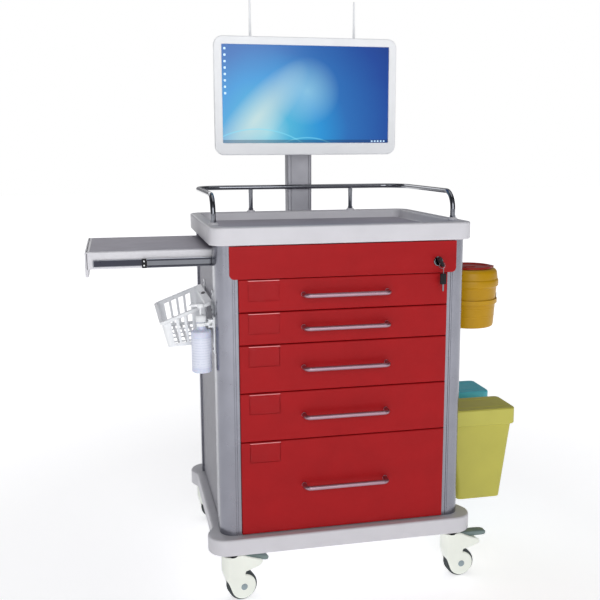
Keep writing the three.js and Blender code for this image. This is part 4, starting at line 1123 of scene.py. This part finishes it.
def make_bins():
    make_bin("bin_front", LIME, LIME_LID)
    make_bin("bin_rear", BLUE, BLUE)
    keep("bin_rail", ALUMINIUM, 0.5)


# ---------------- casters
CASTER_FRONT_X, CASTER_REAR_X, CASTER_Y = 290, 302, 245
TRAIL, WHEEL_R, HEAD_R = 26, 37.5, 25
CHEEK_IN, CHEEK_OUT, CHEEK_R = 15.6, 21, 32
HOOD_TOP = 122.5
PEDAL_PIVOT = Vector((34, 0, 113))
VOXEL, KEPT_SHARE = 1.15, 0.16  # how fine the housing is remeshed, and the share of its faces kept


def housing_side():
    """Side view of the housing: a hood over the wheel and a round cheek beside it."""
    nose = [(32, 76.6), (42, 78), (52, 80), (62, 82.4), (73, 86.2), (80, 89.4), (83.2, 93), (80, 97)]
    hood = [(72, 101.6), (61, 106), (50, 110.2), (38, 115.4), (29, 120)]
    head = [(22, HOOD_TOP), (-25, HOOD_TOP), (-25, 84)]
    return arc(TRAIL, WHEEL_R, CHEEK_R, 2.22, 2.7, 30) + nose + hood + head


def housing_plan():
    """Plan of the housing: round about the swivel axis and drawn out to a blunt nose."""
    side = [(58, 0), (70, 1.5), (79, 6), (83.4, 12), (83.6, 21)]
    near = [(x, d - CHEEK_OUT) for x, d in side]
    far = [(x, CHEEK_OUT - d) for x, d in reversed(side)]
    return arc(0, 0, HEAD_R, 0.66, 2.68, 24) + near + far


def fused(name, whole, inside, cuts):
    """whole, kept only inside another solid, less the cuts, with every edge softened."""
    rough = scratch_object(name, whole.verts, whole.faces)
    tools = [inside] + cuts
    helpers = [scratch_object(f"{name}_{k}", tool.verts, tool.faces) for k, tool in enumerate(tools)]
    for k, helper in enumerate(helpers):
        carve = rough.modifiers.new(f"carve_{k}", "BOOLEAN")
        carve.solver, carve.object = "EXACT", helper
        carve.operation = "DIFFERENCE" if k else "INTERSECT"
    remesh = rough.modifiers.new("remesh", "REMESH")
    remesh.mode, remesh.voxel_size = "VOXEL", VOXEL
    smooth = rough.modifiers.new("smooth", "SMOOTH")
    smooth.factor, smooth.iterations = 0.5, 5
    rough.modifiers.new("thin", "DECIMATE").ratio = KEPT_SHARE
    solid = evaluated(rough)
    for helper in helpers:
        bpy.data.objects.remove(helper)
    return solid


def outward(solid):
    """The solid with its faces turned to point out."""
    mesh = bmesh.new()
    verts = [mesh.verts.new(v) for v in solid.verts]
    for face in solid.faces:
        mesh.faces.new([verts[i] for i in face])
    mesh.normal_update()
    bmesh.ops.recalc_face_normals(mesh, faces=mesh.faces)
    mesh.verts.index_update()
    turned = Solid(solid.verts, [tuple(v.index for v in face.verts) for face in mesh.faces], solid.finish)
    mesh.free()
    return turned


def make_housing():
    edge = [(3.4 * (1 - cos(a)), CHEEK_OUT - 3.4 * (1 - sin(a))) for a in quarter(4)]
    levels = [(d, -y) for d, y in reversed(edge)] + edge
    whole = extrusion(housing_side(), levels).along_y()
    inside = extrusion(housing_plan(), [(0, -2), (0, HOOD_TOP + 2)])
    wheel_room = lathe([(WHEEL_R + 2.6, -CHEEK_IN), (WHEEL_R + 2.6, CHEEK_IN)], steps=48).along_y()
    wheel_room = wheel_room.moved(Matrix.Translation((TRAIL, 0, WHEEL_R)))
    well = extrusion([(24, 104), (60, 97), (100, 86), (100, 140), (24, 140)], [(0, -14), (0, 14)]).along_y()
    return fused("housing", outward(whole), outward(inside), [outward(wheel_room), outward(well)])


def make_wheel(name, place):
    half = 15
    side = [(30, half - 0.6), (33.2, half), (35, half - 0.7), (36.6, half - 2.4), (37.4, half - 5)]
    side += [(37.5, 1.4), (36.8, 0.6)]  # the groove round the middle of the tread
    tread = [(r, -w) for r, w in side] + [(r, w) for r, w in reversed(side)]
    rib = [(28, 11), (14, 10), (11, 15.2), (6, 15.3)]
    core = [(30.4, -12.5), (30.4, 12.5)] + rib + [(r, -w) for r, w in reversed(rib)]
    dome = ((0.8, 1.9), (5, 1.8), (7.4, 1.2), (8.4, 0.4), (8.4, -1.5), (5, -1.6))
    cap = [(r, CHEEK_OUT + out) for r, out in dome] + [(5, 10)]
    solids = [lathe(tread, steps=64, closed=True), lathe(core, steps=48, closed=True, finish=1),
              lathe(cap, steps=32, finish=2), lathe([(r, -z) for r, z in cap], steps=32, finish=2)]
    turn = place @ Matrix.Translation((TRAIL, 0, WHEEL_R)) @ Matrix.Rotation(radians(90), 4, "X")
    piece(f"{name}_wheel_set", [solid.moved(turn) for solid in solids], [TYRE, IVORY, HUB],
          name.replace("caster", "wheel"), [f"{name}_wheel"])


def make_pedal(name, place, tilt):
    stations = [(-6, 10, -4.5, 5.5), (0, 12, -5, 6.2), (14, 12.8, -5.4, 6.8), (30, 13, -6, 7),
                (46, 13, -6.6, 6.4), (57, 12.2, -7, 5.4), (63, 10.4, -6.6, 3.8), (65.6, 7.6, -5.2, 1.6)]
    rings = [[(x, y, z) for y, z, _ in rounded(-w, w, low, high, 3.4, 0, 5)] for x, w, low, high in stations]
    grips = [slab(36 + 6 * k, 38.4 + 6 * k, -9, 9, 5, 7.3 - 0.5 * k, 1, 0.6) for k in range(4)]
    swing = place @ Matrix.Translation(PEDAL_PIVOT) @ Matrix.Rotation(radians(tilt), 4, "Y")
    piece(f"{name}_lever", [part.moved(swing) for part in [loft(rings)] + grips], PEDAL,
          name.replace("caster", "pedal"), [f"{name}_pedal"])


def make_caster(name, housing, x, y, yaw, pedal_tilt=None):
    place = Matrix.Translation((x, y, 0)) @ Matrix.Rotation(radians(yaw), 4, "Z")
    profile = [(20, 119), (21.4, 120), (21.4, 124.6), (22.4, 125.2), (22.4, 127.6), (18, 127.6)]
    solids = [housing, lathe(profile, steps=40, finish=1)]
    piece(f"{name}_housing", [solid.moved(place) for solid in solids], [IVORY, BLACK], name,
          [f"{name}_fork"], angle=50)
    make_wheel(name, place)
    if pedal_tilt is not None:
        make_pedal(name, place, pedal_tilt)


def make_casters():
    """Each caster with its yaw in degrees; the front ones have a pedal, the left of them pressed."""
    housing = make_housing()
    make_caster("caster_front_left", housing, -CASTER_FRONT_X, -CASTER_Y, 12, 14)
    make_caster("caster_front_right", housing, CASTER_FRONT_X, -CASTER_Y, 2, 0)
    make_caster("caster_rear_left", housing, -CASTER_REAR_X, CASTER_Y, 18)
    make_caster("caster_rear_right", housing, CASTER_REAR_X, CASTER_Y, 18)


# ---------------- the cart
bpy.context.scene.view_settings.view_transform = "Standard"
make_camera()
make_studio()
make_base()
make_worktop()
make_guard_rail()
make_columns()
make_panels()
for drawer in range(1, 6):
    make_drawer(drawer)
make_lock()
make_shelf()
make_post()
make_monitor()
make_aerials()
make_bottle()
make_basket()
make_sharps()
make_bins()
make_casters()
